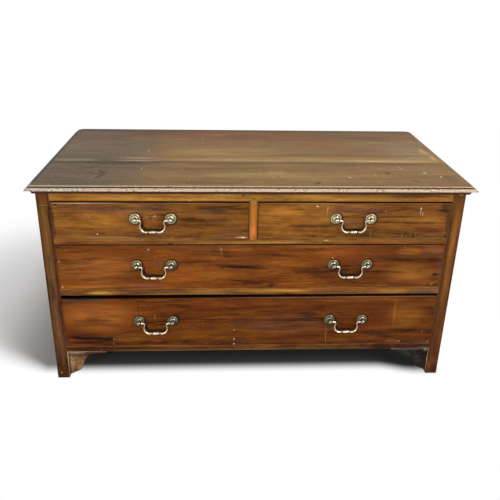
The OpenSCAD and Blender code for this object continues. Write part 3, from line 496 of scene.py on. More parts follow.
MARKS = {
    "upper_left_front": front_marks(
        (SHADE, -100, 474, 170, 80, 0.24, 0.2), (SHADE, -400, 474, 160, 80, 0.12, 0.2),
        (GOLD, -392, 468, 110, 26, 0.3), (AMBER, -130, 452, 56, 10, 0.3),
        (SMOKE, -478, 503, 12, 12, 0.4), (SMOKE, -320, 506, 120, 7, 0.6, 0.35),
        (SMOKE, -420, 512, 90, 8, 0.35), (PLUM, -256, 514, 64, 6, 0.6),
        (PLUM, -330, 497, 70, 4, 0.45), (RUSSET, -252, 481, 30, 22, 0.25, 0.8),
        ((176, 104, 60), -258, 481, 22, 13, 0.22, 1.2),
        ((196, 138, 86), -257, 483, 24, 13, 0.5, 0.8, 0, 1.0),
        ((226, 178, 118), -254, 486, 16, 4, 0.6, 0.8, 0, 1.0), (SMOKE, -105, 500, 52, 10, 0.45),
        (UMBER, -105, 472, 74, 8, 0.5), (UMBER, -118, 463, 34, 5, 0.4),
        (UMBER, -382, 443, 30, 5, 0.3), (SMOKE, -340, 434, 60, 4, 0.35),
        (PLUM, -60, 440, 46, 14, 0.35), (CREAM, -392, 438, 2.2, 2.0, 0.8, 0.3),
        (CREAM, -207, 429, 1.8, 1.6, 0.8, 0.3), (OLIVE, -330, 429, 150, 4, 0.4),
        # The pale marks at z 521.4 are a painted highlight on the worn top arris
        (PALE, -410, 521.4, 110, 1.5, 0.8, 0.5), (PALE, -150, 521.4, 130, 1.2, 0.4, 0.9),
        (UMBER, -488, 517, 9, 2, 0.8), (UMBER, -440, 517, 10, 1.4, 0.6),
        # The umber mark at x -498 is painted shade in the gap beside the left post
        (UMBER, -498, 476, 5, 50, 0.7, 0.4), (PALE, -30, 428.5, 17, 2.4, 0.75, 0.8),
        (CREAM, -27, 427.8, 6, 2.4, 0.95, 0.4), (UMBER, -30, 508, 10, 3, 0.35, 0.5, 0, 1.0),
        ((150, 104, 52), -256, 427, 250, 3, 0.55, 0.4)),
    "upper_right_front": front_marks(
        (SHADE, 370, 474, 210, 90, 0.3, 0.2), (GOLD, 72, 484, 62, 34, 0.42),
        (GOLD, 415, 470, 84, 36, 0.25), (RUSSET, 17, 474, 3, 60, 0.5, 0.6, 0, 0.8),
        (PLUM, 255, 504, 92, 16, 0.55), (UMBER, 140, 459, 72, 6, 0.5),
        (UMBER, 116, 460, 26, 5, 0.5), (UMBER, 102, 505, 30, 2.5, 0.4),
        (UMBER, 142, 487, 18, 2.4, 0.4, 0.3, -35), (UMBER, 405, 470, 90, 3, 0.4),
        (PALE, 185, 505, 1.5, 18, 0.35, 1.0), (CREAM, 159, 514, 4, 1.6, 0.8, 0.4, -35),
        (CREAM, 423, 502, 0.9, 14, 0.4, 0.9), (CREAM, 423, 508, 1.6, 4, 0.75, 0.3),
        (PALE, 429, 493, 1.3, 6, 0.6), (PALE, 382, 431, 1.2, 13, 0.4, 1.0),
        (PALE, 404, 431, 1.2, 12, 0.35, 1.0), (PALE, 394, 428, 0.9, 8, 0.4, 1.0),
        (PALE, 418, 433, 0.9, 10, 0.35, 1.0), (PALE, 432, 430, 10, 5, 0.6, 1.0, 0, 1.0),
        (PALE, 300, 434, 1.3, 14, 0.3, 0.9), (SOOT_AND_SHADE, 486, 508, 22, 17, 0.95, 0.9, 30, 0.35),
        (UMBER, 497, 476, 7, 60, 0.6, 0.6), (CREAM, 333, 501, 1.4, 1.4, 0.6, 0.3),
        # The pale marks at z 521.6 are a painted highlight on the worn top arris
        (SMOKE, 250, 470, 40, 14, 0.35), (PALE, 120, 521.6, 110, 1.2, 0.55, 0.8),
        (PALE, 380, 521.6, 110, 1.0, 0.35, 0.9), ((152, 102, 46), 256, 427, 250, 3, 0.55, 0.4)),
    "middle_front": front_marks(
        (SHADE, 370, 344, 220, 110, 0.42, 0.2), (SHADE, -330, 330, 150, 90, 0.12, 0.2),
        (SHADE, 10, 340, 150, 90, 0.14, 0.2), ((152, 90, 38), -416, 340, 100, 56, 0.45),
        ((118, 64, 24), -90, 356, 120, 44, 0.5, 0.2), (UMBER, -422, 356, 24, 4, 0.35),
        (UMBER, -458, 327, 40, 3, 0.35), (PLUM, -325, 365, 22, 4, 0.5),
        (UMBER, -320, 331, 24, 3, 0.5), (SMOKE, -242, 358, 20, 8, 0.5),
        (PLUM, -280, 291, 66, 8, 0.5), (CREAM, -267, 395, 2.0, 2.0, 0.85, 0.3),
        (PALE, -82, 391, 1.6, 12, 0.55, 0.8, 8, 0.7),
        ((196, 132, 88), -251, 374, 9, 4, 0.5, 0.6, 0, 1.0),
        (UMBER, -254, 377, 12, 3, 0.5, 0.8, 0, 1.0), ((38, 18, 8), -30, 344, 60, 6, 0.95, 0.3),
        ((38, 18, 8), 14, 341, 30, 4, 0.85, 0.3), ((150, 90, 38), -420, 288, 80, 6, 0.5),
        (AMBER, 80, 340, 80, 34, 0.3, 0.2), (AMBER, 70, 356, 34, 10, 0.4),
        ((104, 56, 22), 170, 330, 70, 22, 0.5, 0.2), ((96, 44, 20), 50, 290, 16, 9, 0.7, 0.4),
        (UMBER, 50, 289, 9, 6, 0.8, 0.6, 30), (RUSSET, 225, 384, 64, 26, 0.35),
        (UMBER, 370, 366, 62, 5, 0.55, 0.4, -4), (GOLD, 410, 388, 38, 11, 0.5),
        (PLUM, 470, 389, 34, 11, 0.6), (GOLD, 420, 326, 76, 28, 0.4),
        (SOOT_AND_SHADE, 488, 320, 15, 6, 0.9, 0.3), (SOOT_AND_SHADE, 484, 290, 20, 5, 0.7, 0.4),
        (SMOKE, 494, 345, 7, 40, 0.5), (PALE, 482, 292, 12, 5, 0.3, 0.8, 0, 1.0),
        (CREAM, 207, 370, 1.6, 1.5, 0.6, 0.3), (CREAM, -495, 362, 1.6, 3, 0.5),
        (CREAM, -493, 287, 2, 4, 0.5, 0.5, 0, 0.6), (RUSSET, -180, 320, 60, 20, 0.35),
        (PLUM, -150, 400, 160, 4, 0.4), (PLUM, 200, 402, 160, 3, 0.4),
        ((120, 50, 60), -470, 403, 40, 2.2, 0.5)),
    "lower_front": front_marks(
        (SHADE, 220, 178, 360, 140, 0.22, 0.2), (SHADE, -30, 150, 140, 60, 0.15, 0.2),
        ((158, 92, 38), -410, 196, 110, 54, 0.6), (GOLD, -330, 130, 90, 14, 0.3),
        ((34, 17, 8), -438, 128, 64, 6.2, 1.0, 0.65, -2),
        ((34, 17, 8), -388, 125, 28, 7, 1.0, 0.6, 4), ((44, 20, 8), -446, 114, 56, 6, 0.85, 0.3),
        # The mark at z 253.2 is a painted highlight on the worn top arris
        ((176, 130, 94), 40, 253.2, 480, 2.0, 0.75, 0.6), ((60, 30, 50), -495, 124, 6, 7, 0.8),
        (RUSSET, -440, 108, 70, 4, 0.25), (SOOT_AND_SHADE, -302, 222, 1.2, 30, 0.75, 0.6),
        (PALE, -259, 195, 0.8, 9, 0.35, 0.7), (UMBER, -138, 216, 20, 4, 0.35),
        (UMBER, -80, 188, 18, 6, 0.4), (UMBER, -120, 186, 50, 3, 0.3),
        (FLAME, -257, 118, 16, 4, 0.35), (PALE, -372, 125, 1.6, 3, 0.5),
        (PALE, -373, 110, 0.8, 8, 0.35), (GOLD, -268, 104, 110, 1.6, 0.6),
        # The dark mark at z 254 is painted shade in the gap above the front
        ((66, 62, 62), -446, 249, 64, 4.2, 0.9, 0.3), (SOOT_AND_SHADE, -420, 254, 110, 2.4, 0.8, 0.3),
        (UMBER, -60, 116, 80, 14, 0.35), (CREAM, -47, 106.5, 2.4, 2.4, 0.95, 0.1),
        (CREAM, -47, 122, 1.5, 3.0, 0.8, 0.1), (CREAM, -47, 151, 1.2, 2.6, 0.4, 0.1),
        ((112, 50, 26), 47, 243, 7, 6, 0.7, 0.4, 30), (UMBER, 173, 199, 14, 3, 0.5),
        (UMBER, 40, 154, 56, 3.4, 0.4), (UMBER, 110, 128, 90, 8, 0.4),
        (SMOKE, 90, 170, 150, 34, 0.25), (PALE, 206, 128, 0.7, 32, 0.4, 0.6, 3),
        (GOLD, 424, 192, 60, 40, 0.3), (AMBER, 390, 200, 5, 44, 0.35),
        (UMBER, 352, 132, 62, 7, 0.8, 0.5, -8), (UMBER, 300, 112, 90, 5, 0.5),
        (GOLD, 394, 109, 24, 9, 0.4), (CREAM, 412, 110, 2.2, 1.8, 0.6, 0.5),
        (SMOKE, 465, 107, 40, 5, 0.7), (PALE, 494, 108, 4, 2.0, 0.6, 0.6),
        (CREAM, 474, 142, 1.0, 4, 0.4)),
    "top_rail": front_marks(
        # The first mark is painted shadow of the overhanging top on the rail's upper part
        ((104, 60, 30), 0, 550, 560, 7.5, 0.8, 0.25), (RUSSET, -470, 538, 42, 12, 0.3),
        ((124, 86, 38), 300, 538, 140, 20, 0.45, 0.3),
        ((190, 134, 62), -210, 538, 230, 14, 0.6, 0.3), (OCHRE, -310, 534, 18, 7, 0.4),
        (OCHRE, -366, 536, 20, 7, 0.35), ((176, 104, 30), -380, 531, 60, 4, 0.5),
        (AMBER, -200, 534, 30, 7, 0.4), (CREAM, -160, 528.4, 3, 1.4, 0.7),
        (SMOKE, 420, 541, 80, 8, 0.3), ((186, 96, 44), 420, 531, 90, 3, 0.5),
        ((186, 96, 44), 240, 531, 80, 2, 0.4), (UMBER, -28, 543, 5, 3, 0.7),
        (CREAM, -82, 537, 2, 2, 0.4), (PALE, -70, 545, 46, 4, 0.5, 0.8, 0, 1.0),
        # The mark at z 524.6 is painted shade in the gap below the rail
        (PALE, 330, 549, 120, 2, 0.45, 0.8, 0, 1.0), (DEEP_SHADE, 0, 524.6, 560, 1.6, 0.85, 0.05)),
    "centre_divider": front_marks(
        (DULL_GOLD, -12, 476, 5, 60, 0.7), (DULL_GOLD, 9, 476, 5, 60, 0.7),
        (DULL_GOLD, -1.5, 530, 40, 16, 0.95, 0.15), ((184, 84, 34), -1.5, 508, 7, 1.6, 0.6, 0.4),
        ((204, 108, 56), -1.5, 448, 11, 14, 0.5, 0.3),
        ((150, 84, 40), -1.5, 418, 40, 16, 0.95, 0.15), ((84, 30, 24), -13, 500, 1.6, 22, 0.8),
        (UMBER, -13, 450, 1.4, 30, 0.6), (UMBER, 9.8, 476, 1.4, 60, 0.8)),
    "upper_rail": front_marks(
        ((140, 94, 44), 0, 420, 560, 7, 0.5, 0.3), (PALE, 187, 420, 9, 2.2, 0.7),
        (OCHRE, 40, 415, 110, 7, 0.5, 0.4), ((104, 66, 34), -225, 418, 210, 10, 0.55, 0.3),
        (UMBER, -170, 417, 60, 8, 0.4), (RUSSET, -460, 414, 50, 6, 0.3),
        (SHADE, 480, 417, 100, 12, 0.65, 0.2), (SHADE, -420, 417, 80, 12, 0.1, 0.2),
        (UMBER, -210, 411, 8, 3, 0.8), ((186, 96, 50), -1.5, 421, 14, 5, 0.6),
        # The mark at z 409 is painted shade in the gap below the rail
        ((80, 30, 30), 380, 409, 160, 2.4, 0.5, 0.3)),
    "middle_rail": front_marks(
        ((98, 60, 28), 0, 271, 700, 20, 0.55, 0.1), ((106, 64, 27), -505, 271, 130, 14, 0.85, 0.3),
        ((188, 142, 62), -396, 267, 44, 7, 0.5, 0.3), ((96, 60, 32), -294, 272, 84, 10, 0.75),
        (OLIVE, -150, 264, 120, 3.5, 0.6), (OCHRE, 60, 273, 110, 5, 0.4, 0.4),
        ((120, 78, 34), -90, 272, 50, 10, 0.5, 0.3), ((168, 118, 60), 376, 272, 44, 8, 0.35),
        (SHADE, 272, 272, 90, 12, 0.35, 0.3), (SMOKE, 470, 271, 44, 12, 0.6),
        # The mark at z 259 is painted shade in the gap below the rail
        (SOOT_AND_SHADE, 92, 262, 4, 4, 0.8), (DEEP_SHADE, -330, 259, 330, 3, 0.8, 0.05),
        (SHADE, -200, 272, 50, 10, 0.3, 0.3)),
    "bottom_rail": front_marks(
        ((84, 48, 24), 0, 95, 700, 14, 0.75, 0.15), ((128, 78, 28), -260, 99, 150, 3, 0.6),
        # The mark at z 88 is painted shade where the rail meets the left bracket
        ((62, 28, 9), -410, 96, 170, 9, 0.95, 0.15), (DEEP_SHADE, -450, 88, 70, 5, 0.8),
        ((128, 92, 44), -40, 88, 360, 2.4, 0.6, 0.3), ((46, 24, 16), 404, 96, 176, 12, 0.92),
        ((84, 58, 28), 110, 90, 220, 5, 0.4), ((150, 66, 34), 420, 97, 60, 4, 0.5, 0.8, 0, 1.0)),
    "front_left_post": front_marks(
        (UMBER, -532, 300, 3.5, 330, 0.7, 0.5), ((70, 30, 22), -503, 300, 5.5, 330, 0.9, 0.5),
        (OLIVE, -519, 330, 8, 220, 0.3), (PLUM, -514, 200, 9, 130, 0.5, 0.5),
        ((110, 66, 32), -518, 536, 18, 20, 0.7, 0.3), (SOOT_AND_SHADE, -518, 513, 18, 1.0, 0.7, 0.1),
        (PALE, -516, 515, 16, 0.7, 0.35, 0.3), (UMBER, -525, 470, 1.6, 44, 0.6),
        ((92, 60, 42), -518, 90, 18, 40, 0.7), ((62, 38, 20), -516, 28, 20, 42, 0.85, 0.4),
        ((116, 96, 40), -526, 18, 5, 18, 0.7, 0.8, 0, 0.8),
        ((120, 62, 30), -514, 44, 5, 30, 0.5, 0.8), (PALE, -522, 18, 2.4, 4, 0.7, 0.6),
        # The mark at z 0 is painted shade where the foot stands on the floor
        (UMBER, -504, 50, 2.4, 60, 0.9, 0.4), (DEEP_SHADE, -518, 0, 18, 3.4, 0.9),
        # The mark at x -503 is painted shade in the gap beside the upper left front
        (SOOT_AND_SHADE, -503, 476, 6, 56, 0.75, 0.4)),
    "front_right_post": front_marks(
        (SHADE, 518, 300, 20, 330, 0.2, 0.3), ((70, 34, 22), 504, 300, 4.5, 330, 0.8, 0.6),
        (UMBER, 532, 300, 3.0, 330, 0.55, 0.5), (GOLD, 518, 380, 8, 170, 0.4),
        (PALE, 520, 546, 9, 2.4, 0.7, 1.5), (UMBER, 518, 552, 18, 6, 0.7),
        ((84, 44, 22), 518, 50, 20, 72, 0.8, 0.3), (UMBER, 518, 12, 18, 26, 0.7),
        ((170, 84, 38), 522, 40, 8, 20, 0.5, 0.8, 0, 0.9),
        # The mark at z 0 is painted shade where the foot stands on the floor
        ((150, 112, 72), 508, 30, 6, 24, 0.4, 0.8, 20, 0.9), (DEEP_SHADE, 518, 0, 18, 3, 0.8)),
    "front_brackets": front_marks(
        ((206, 172, 148), -474, 81, 24, 1.8, 0.8, 0.5), (UMBER, -470, 77, 30, 2, 0.6),
        (UMBER, -499, 50, 2.2, 44, 0.9, 0.3), (PALE, -490, 44, 6, 34, 0.4, 0.6, 0, 0.8),
        (FLAME, -481, 16, 7, 6, 0.7), ((150, 126, 66), -470, 30, 9, 12, 0.5),
        ((186, 150, 122), -474, 56, 34, 30, 0.2, 0.8, 15, 1.0),
        # The mark at x 450 paints the right bracket nearly black, as it stands in shade
        (UMBER, -462, 62, 18, 4, 0.5, 0.6, -25), (DEEP_SHADE, 450, 50, 90, 90, 0.99, 0.05),
        ((92, 80, 78), 440, 82, 58, 2.2, 0.6, 0.3), ((110, 96, 94), 492, 80, 7, 5, 0.8, 0.5),
        ((92, 84, 80), 466, 52, 26, 40, 0.4, 0.8, 20, 1.0), ((92, 86, 80), 392, 80, 6, 4, 0.8)),
}


# The colour of the painted shadow behind the handles
HANDLE_SHADOW_COLOUR = shade(30, 16, 7)
ALONG = {"y": (0.0, 0.0, math.pi / 2), "z": (0.0, math.pi / 2, 0.0)}
GRAIN_DEPTH = 0.4 * MM


def grained(tree, place, finish, along, board):
    """The wood grain of a finish at a place."""
    turned_place = place
    if along != "x":
        turned_place = put(tree, "Mapping", {"vector_type": "POINT"}, Vector=place,
                           Rotation=ALONG[along])[0]
    return place_group(tree, "grain", Place=turned_place, Board=board, Light=finish.light,
                       Middle=finish.middle, Dark=finish.dark, Red=finish.red, Gold=finish.gold,
                       Contrast=finish.contrast, Blotch=finish.blotch, Pores=finish.pores)


def add_marks(tree, place, grain, colour, marks):
    """Lays the marks over a colour, each with the light and dark of the grain."""
    for mark in marks:
        ragged = grain["Ragged"] * mark.ragged
        mask = place_group(tree, "stain", Place=place, Middle=mark.middle, Reach=mark.reach,
                           Turn=mark.slant, Ragged=ragged, Strength=mark.strength,
                           Broken=mark.broken, Crumbs=grain["Crumbs"])["Mask"]
        colour = blend(mask, colour, blend(1.0, mark.colour, grain["Shade"], "MULTIPLY"))
    return colour


# Painted shade in the gap above the drawer fronts, by row
GAP_SHADE_OF = {"upper": shade(52, 28, 13), "middle": shade(92, 50, 26), "lower": shade(24, 13, 8)}


def gap_shade_on_upper_face(tree, place, colour, front_y, gap_shade):
    """Painted shade on the faces that look up, behind the front arris at front_y, in the gap."""
    facing_up = put(tree, "SeparateXYZ", Vector=put(tree, "TexCoord")["Normal"])["Z"]
    behind = put(tree, "SeparateXYZ", Vector=place)["Y"] - front_y
    in_gap = ramp(facing_up, 0.6, 0.85) * ramp(behind, 0.0012, 0.0028)
    return blend(in_gap * 0.95, colour, gap_shade)


def finish_wood(tree, place, grain, colour, finish, handles=()):
    """Adds the painted shadow of the handles, chips, and the surface itself with its gloss and
    grain.
    """
    for handle in handles:
        # Painted shadow of each handle's plates and bail on the wood
        handle_shade = place_group(tree, "handle_grime", Place=place, Middle=handle)["Mask"]
        colour = blend(handle_shade, colour, HANDLE_SHADOW_COLOUR)
    rough = grain["Tone"] * -0.16 + (finish.rough + 0.08)
    if finish.specks:
        chips = place_group(tree, "specks", Place=place, Scale=55.0, Share=finish.specks,
                            Size=0.09)
        colour = blend(chips["Mask"] * 0.8, colour, finish.worn)
    bump = put(tree, "Bump", Strength=0.55, Distance=GRAIN_DEPTH, Height=grain["Height"])
    shader = put(tree, "BsdfPrincipled", Base_Color=colour, Roughness=rough, Normal=bump[0],
                 Specular_IOR_Level=finish.sheen, Coat_Weight=finish.coat, Coat_Roughness=0.32,
                 IOR=1.48)
    put(tree, "OutputMaterial", Surface=shader[0])


def empty_material(name):
    material = bpy.data.materials.new(name)
    material.use_nodes = True
    material.node_tree.nodes.clear()
    return material, material.node_tree, put(material.node_tree, "TexCoord")["Object"]


def stacked_boards(tree, place, low, high, rows, board):
    """Tells boards stacked between low and high apart. Gives a number of their own and the dark
    of the joints."""
    z = put(tree, "SeparateXYZ", Vector=place)["Z"]
    row_h = (high.z - low.z) / rows
    up = (z - low.z) / row_h
    number = scaled(calc("FLOOR", up), 5.0, board)
    from_joint = calc("PINGPONG", up, 0.5) * row_h
    return number, ramp(from_joint, 0.0035, 0.0004)


def wood_material(name, low, high, finish, along, board, marks, handles, rows):
    """One board's wood. Along is the axis of the grain and board tells boards apart."""
    material, tree, place = empty_material(name)
    if rows > 1:
        board, joint = stacked_boards(tree, place, low, high, rows, board)
    grain = grained(tree, place, finish, along, board)
    colour = add_marks(tree, place, grain, grain["Color"], marks)
    if rows > 1:
        colour = blend(joint * 0.8, colour, finish.grime)
    edge = place_group(tree, "edge", Place=place, Low=low, High=high, Width=finish.edge)
    colour = blend(edge["Soft"] * finish.edge_grime, colour, finish.grime)
    colour = blend(edge["Worn"] * finish.edge_worn, colour, finish.worn)
    if name.startswith(DRAWER_FRONTS):
        # Painted shade on the top face of a drawer front, in the gap above it
        colour = gap_shade_on_upper_face(tree, place, colour, low.y, GAP_SHADE_OF[name.split("_")[0]])
    finish_wood(tree, place, grain, colour, finish, handles)
    return material


# Finish and axis of the grain of the wooden nodes, by how their names end. The first that fits
# is taken.
LOOKS = (
    ("_post", "post", "z"), ("_side_rails", "side", "y"), ("_side_panel", "side", "z"),
    ("top_rail", "top_rail", "x"), ("upper_rail", "rail", "x"), ("middle_rail", "rail", "x"),
    ("bottom_rail", "rail", "x"), ("centre_divider", "divider", "z"),
    ("front_brackets", "bracket", "x"), ("upper_left_front", "upper_front", "x"),
    ("upper_right_front", "upper_front", "x"), ("middle_front", "middle_front", "x"),
    ("lower_front", "lower_front", "x"), ("_left_side", "inner", "y"),
    ("_right_side", "inner", "y"), ("runners_and_kickers", "inner", "y"),
    ("drawer_guides", "inner", "y"), ("", "inner", "x"))
# The back is made of this many boards, one above the other.
BACK_BOARDS = 3
# How far the arrises of the pieces are rounded
INNER_ARRIS = 0.5 * MM
OUTER_ARRIS = 0.9 * MM
STEEL_ARRIS = 0.2 * MM


def soften(piece, width, angle=30.0):
    """Rounds the sharp edges of a carried-over solid."""
    weld = piece.modifiers.new("weld", "WELD")
    weld.merge_threshold = 1e-6
    bevel = piece.modifiers.new("bevel", "BEVEL")
    bevel.width = width
    bevel.segments = 2
    bevel.limit_method = "ANGLE"
    bevel.angle_limit = math.radians(angle)
    bevel.use_clamp_overlap = True
    even = piece.modifiers.new("even", "WEIGHTED_NORMAL")
    even.keep_sharp = False


def dress(piece, material):
    piece.data.materials.clear()
    piece.data.materials.append(material)


def dress_boards():
    """Gives every carried-over wooden node its own wood."""
    for count, (name, piece) in enumerate(sorted(nodes.items())):
        slot = slot_of[name]
        if not slot.endswith("wood") or name in ("top_front_board", "top_back_board"):
            continue
        look, along = next(rest for ending, *rest in LOOKS if name.endswith(ending))
        low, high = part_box(name)
        handles = [j["pos_m"] for j in bail_joints()
                   if name == j["parent"].replace("_drawer", "_front")]
        material = wood_material(name + " wood", low, high, FINISHES[look], along, float(count),
                                 MARKS.get(name, ()), handles,
                                 BACK_BOARDS if name == "back_boards" else 1)
        dress(piece, material)
        soften(piece, INNER_ARRIS if look == "inner" else OUTER_ARRIS)


# Making meshes

def finish_mesh(work, name, smooth_all=True):
    """Turns the work into an object, smooth all over or only on its faces with four corners."""
    bmesh.ops.recalc_face_normals(work, faces=work.faces)
    mesh = bpy.data.meshes.new(name)
    work.to_mesh(mesh)
    work.free()
    for face in mesh.polygons:
        face.use_smooth = smooth_all or len(face.vertices) == 4
    piece = bpy.data.objects.new(name, mesh)
    scene.collection.objects.link(piece)
    return piece


def arc(steps, turn=math.pi / 2):
    """The angles from 0 to a quarter turn, or another turn, in equal steps."""
    return [turn * i / steps for i in range(steps + 1)]


def steps_between(a, b, step):
    n = max(1, round(abs(b - a) / step))
    return [a + (b - a) * i / n for i in range(n + 1)]


# Top boards with a worn moulded edge

SEAM_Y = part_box("top_front_board")[1].y
TOP_Z = cad_high.z
TOP_LOW_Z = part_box("top_front_board")[0].z
TOP_FRONT_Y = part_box("top_front_board")[0].y
TOP_BACK_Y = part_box("top_back_board")[1].y
TOP_X = (cad_high.x - cad_low.x) / 2
PATH_STEP = 4 * MM
CORNER_R = 18 * MM
MITRE_CLEAR = 15 * MM

# The moulding, in millimetres: widths in from the lip, and heights and depths below the top
MOULDING_W = 10.5
BEAD_R = 1.5
FILLET_D = 3.0
NOSE_W = 6.5
NOSE_H = 5.6
GROOVE_D = 4.8
GROOVE_HOLLOW = 0.8
LIP_IN = 0.8
LIP_H = 1.0
COVE_W = 13.8


def moulding_profile():
    """The moulded edge as (distance in from the lip, depth below the top), top first, in metres:
    a bead, a groove, a round nose, a lip and a cove."""
    bead_in = MOULDING_W - BEAD_R
    points = [(MOULDING_W - BEAD_R * math.sin(a), BEAD_R * (1 - math.cos(a))) for a in arc(6)]
    points.append((bead_in + 0.05, FILLET_D))
    middle, half = (bead_in + NOSE_W) / 2, (bead_in - NOSE_W) / 2
    points += [(middle + half * math.cos(a), GROOVE_D + GROOVE_HOLLOW * math.sin(a))
               for a in arc(8, math.pi)]
    points += [(NOSE_W * (1 - math.sin(a)), GROOVE_D + NOSE_H * (1 - math.cos(a)))
               for a in arc(10)[1:]]
    lip_d = GROOVE_D + NOSE_H + LIP_H
    cove_h = (TOP_Z - TOP_LOW_Z) / MM - lip_d
    points += [(LIP_IN + (COVE_W - LIP_IN) * math.sin(a), lip_d + cove_h * (1 - math.cos(a)))
               for a in arc(8)]
    return [(e * MM, d * MM) for e, d in points]


def edge_wear(point, e):
    """How far the worn edge has sunk inwards at a point: a little everywhere, more where it is
    uneven and most where it is chipped. The flat, beyond the moulding, hasn't sunk."""
    if e > (MOULDING_W - 0.1) * MM:
        return 0.0
    slow = noise.fractal(Vector((point.x * 9, point.y * 9, 1.3)), 1.0, 2.0, 3)
    fast = noise.fractal(Vector((point.x * 130, point.y * 130, point.z * 200)), 1.0, 2.0, 3)
    chip = max(0.0, noise.noise(Vector((point.x * 38, point.y * 38, 7.7))) - 0.42)
    return (0.12 + 0.12 * slow + 0.14 * fast + 2.6 * chip) * MM


def rear_corner(side):
    """The path of the lip round one rear corner, from the side to the back."""
    return [(side * (TOP_X - CORNER_R * (1 - math.cos(a))),
             TOP_BACK_Y - CORNER_R * (1 - math.sin(a)), (-side, 0)) for a in arc(10)[1:]]


def top_board_mesh(name, path, front_y, back_y):
    """A board of the top between front_y and back_y: the moulding swept along the path, and closed
    on top, below and between its ends. Each path entry is (x, y, inward direction) of the lip."""
    profile = moulding_profile()
    work = bmesh.new()
    rows = []
    for x, y, inward in path:
        row = []
        for e, d in profile:
            point = Vector((x + inward[0] * e, y + inward[1] * e, TOP_Z - d))
            sunk = max(0.0, edge_wear(point, e))
            point.x += inward[0] * sunk
            point.y += inward[1] * sunk
            point.y = max(min(point.y, back_y), front_y)
            row.append(work.verts.new(point))
        rows.append(row)
    for a, b in zip(rows, rows[1:]):
        for i in range(len(profile) - 1):
            work.faces.new((a[i], b[i], b[i + 1], a[i + 1]))
    work.faces.new([row[0] for row in reversed(rows)])
    work.faces.new([row[-1] for row in rows])
    work.faces.new(rows[0] + rows[-1][::-1])
    return finish_mesh(work, name, smooth_all=False)


def make_top_boards():
    """Both boards of the top. No step of the front path lies near a mitred corner."""
    clear_y, clear_x = TOP_FRONT_Y + MITRE_CLEAR, TOP_X - MITRE_CLEAR
    left = [y for y in steps_between(SEAM_Y, TOP_FRONT_Y, PATH_STEP) if y > clear_y]
    front = [x for x in steps_between(-TOP_X, TOP_X, PATH_STEP) if abs(x) < clear_x]
    right = [y for y in steps_between(TOP_FRONT_Y, SEAM_Y, PATH_STEP) if y > clear_y]
    front_path = [(-TOP_X, y, (1, 0)) for y in left] + [(-TOP_X, TOP_FRONT_Y, (1, 1))]
    front_path += [(x, TOP_FRONT_Y, (0, 1)) for x in front] + [(TOP_X, TOP_FRONT_Y, (-1, 1))]
    front_path += [(TOP_X, y, (-1, 0)) for y in right]
    straight = steps_between(SEAM_Y, TOP_BACK_Y - CORNER_R, PATH_STEP)
    back_path = [(TOP_X, y, (-1, 0)) for y in straight] + rear_corner(1)
    back_path += rear_corner(-1)[::-1] + [(-TOP_X, y, (1, 0)) for y in reversed(straight)]
    made = []
    for name, path, front_y, back_y in (("top_front_board", front_path, TOP_FRONT_Y, SEAM_Y),
                                        ("top_back_board", back_path, SEAM_Y, TOP_BACK_Y)):
        piece = top_board_mesh("worn_" + name, path, front_y, back_y)
        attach(piece, "carcase")
        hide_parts(name)
        made.append(piece)
    return made


def worn_moulding(tree, place, colour, finish):
    """Lays the wear of the top's edge over a colour: the pale nose and bead, the dark groove, the
    dark side edges and the dim strip at the back, and painted shade on the cove below."""
    x, y, z = put(tree, "SeparateXYZ", Vector=place)
    from_side = TOP_X - abs(x)
    from_front = y - TOP_FRONT_Y
    inward = smaller(from_side, from_front)
    below = TOP_Z - z
    at_front = ramp(from_side - from_front, -0.002, 0.002)
    at_front = larger(at_front, ramp(from_front, 0.045, 0.02))
    nibble = cloud(place, 1.0, 4.0, 0.7, (190.0, 190.0, 240.0))
    patch = cloud(place, 1.0, 3.0, 0.6, (22.0, 22.0, 60.0))
    loose = (nibble - 0.5) * 0.006
    edge = inward + loose
    bead_w, nose_w, nose_d = MOULDING_W * MM, NOSE_W * MM, (GROOVE_D + NOSE_H) * MM
    nose = ramp(edge, nose_w + 0.0003, nose_w - 0.0015)
    bead = ramp(edge, bead_w + 0.0013, bead_w - 0.0001) * ramp(below, 0.0024, 0.0014)
    groove = ramp(below, 0.0022, 0.0034) * ramp(inward, nose_w - 0.0005, nose_w + 0.0007)
    under = ramp(below, nose_d + 0.0008, nose_d + 0.0018)
    left = ramp(x, -0.3, -0.5)
    pale = blend(ramp(nibble, 0.36, 0.6), shade(118, 90, 70), shade(224, 205, 181))
    dusty = blend(left, shade(200, 174, 150), shade(178, 164, 158))
    pale = blend(ramp(patch, 0.38, 0.62), pale, dusty)
    dirty_to = scaled(ramp(x, 0.0, -0.3), 0.01, 0.0125)
    dark_side = (1.0 - at_front) * ramp(edge, dirty_to, 0.0095)
    dark_side = dark_side * ramp(x, -0.2, 0.3, 0.95, 0.6)
    colour = blend(dark_side, colour, shade(58, 50, 46))
    nose = nose * ramp(patch, 0.2, 0.42, 0.6, 0.95)
    flecks = scaled(ramp(nibble, 0.56, 0.64), 0.35, 0.02)
    nose = nose * larger(at_front, flecks)
    bead = bead * ramp(nibble, 0.32, 0.52, 0.25, 0.85)
    bead = bead * scaled(at_front, 0.8, 0.2)
    colour = blend(nose, colour, pale)
    colour = blend(bead, colour, finish.worn)
    groove = groove * ramp(nibble, 0.62, 0.46, 0.35, 0.85)
    colour = blend(groove, colour, finish.grime)
    # Painted shade on the cove below the nose
    colour = blend(under * 0.9, colour, shade(70, 40, 24))
    back = ramp(TOP_BACK_Y - y, 0.04, 0.016)
    back = back * ramp(x, -0.3, -0.15, 0.9, 0.55)
    colour = blend(back, colour, blend(left, shade(84, 60, 42), shade(60, 56, 52)))
    return colour


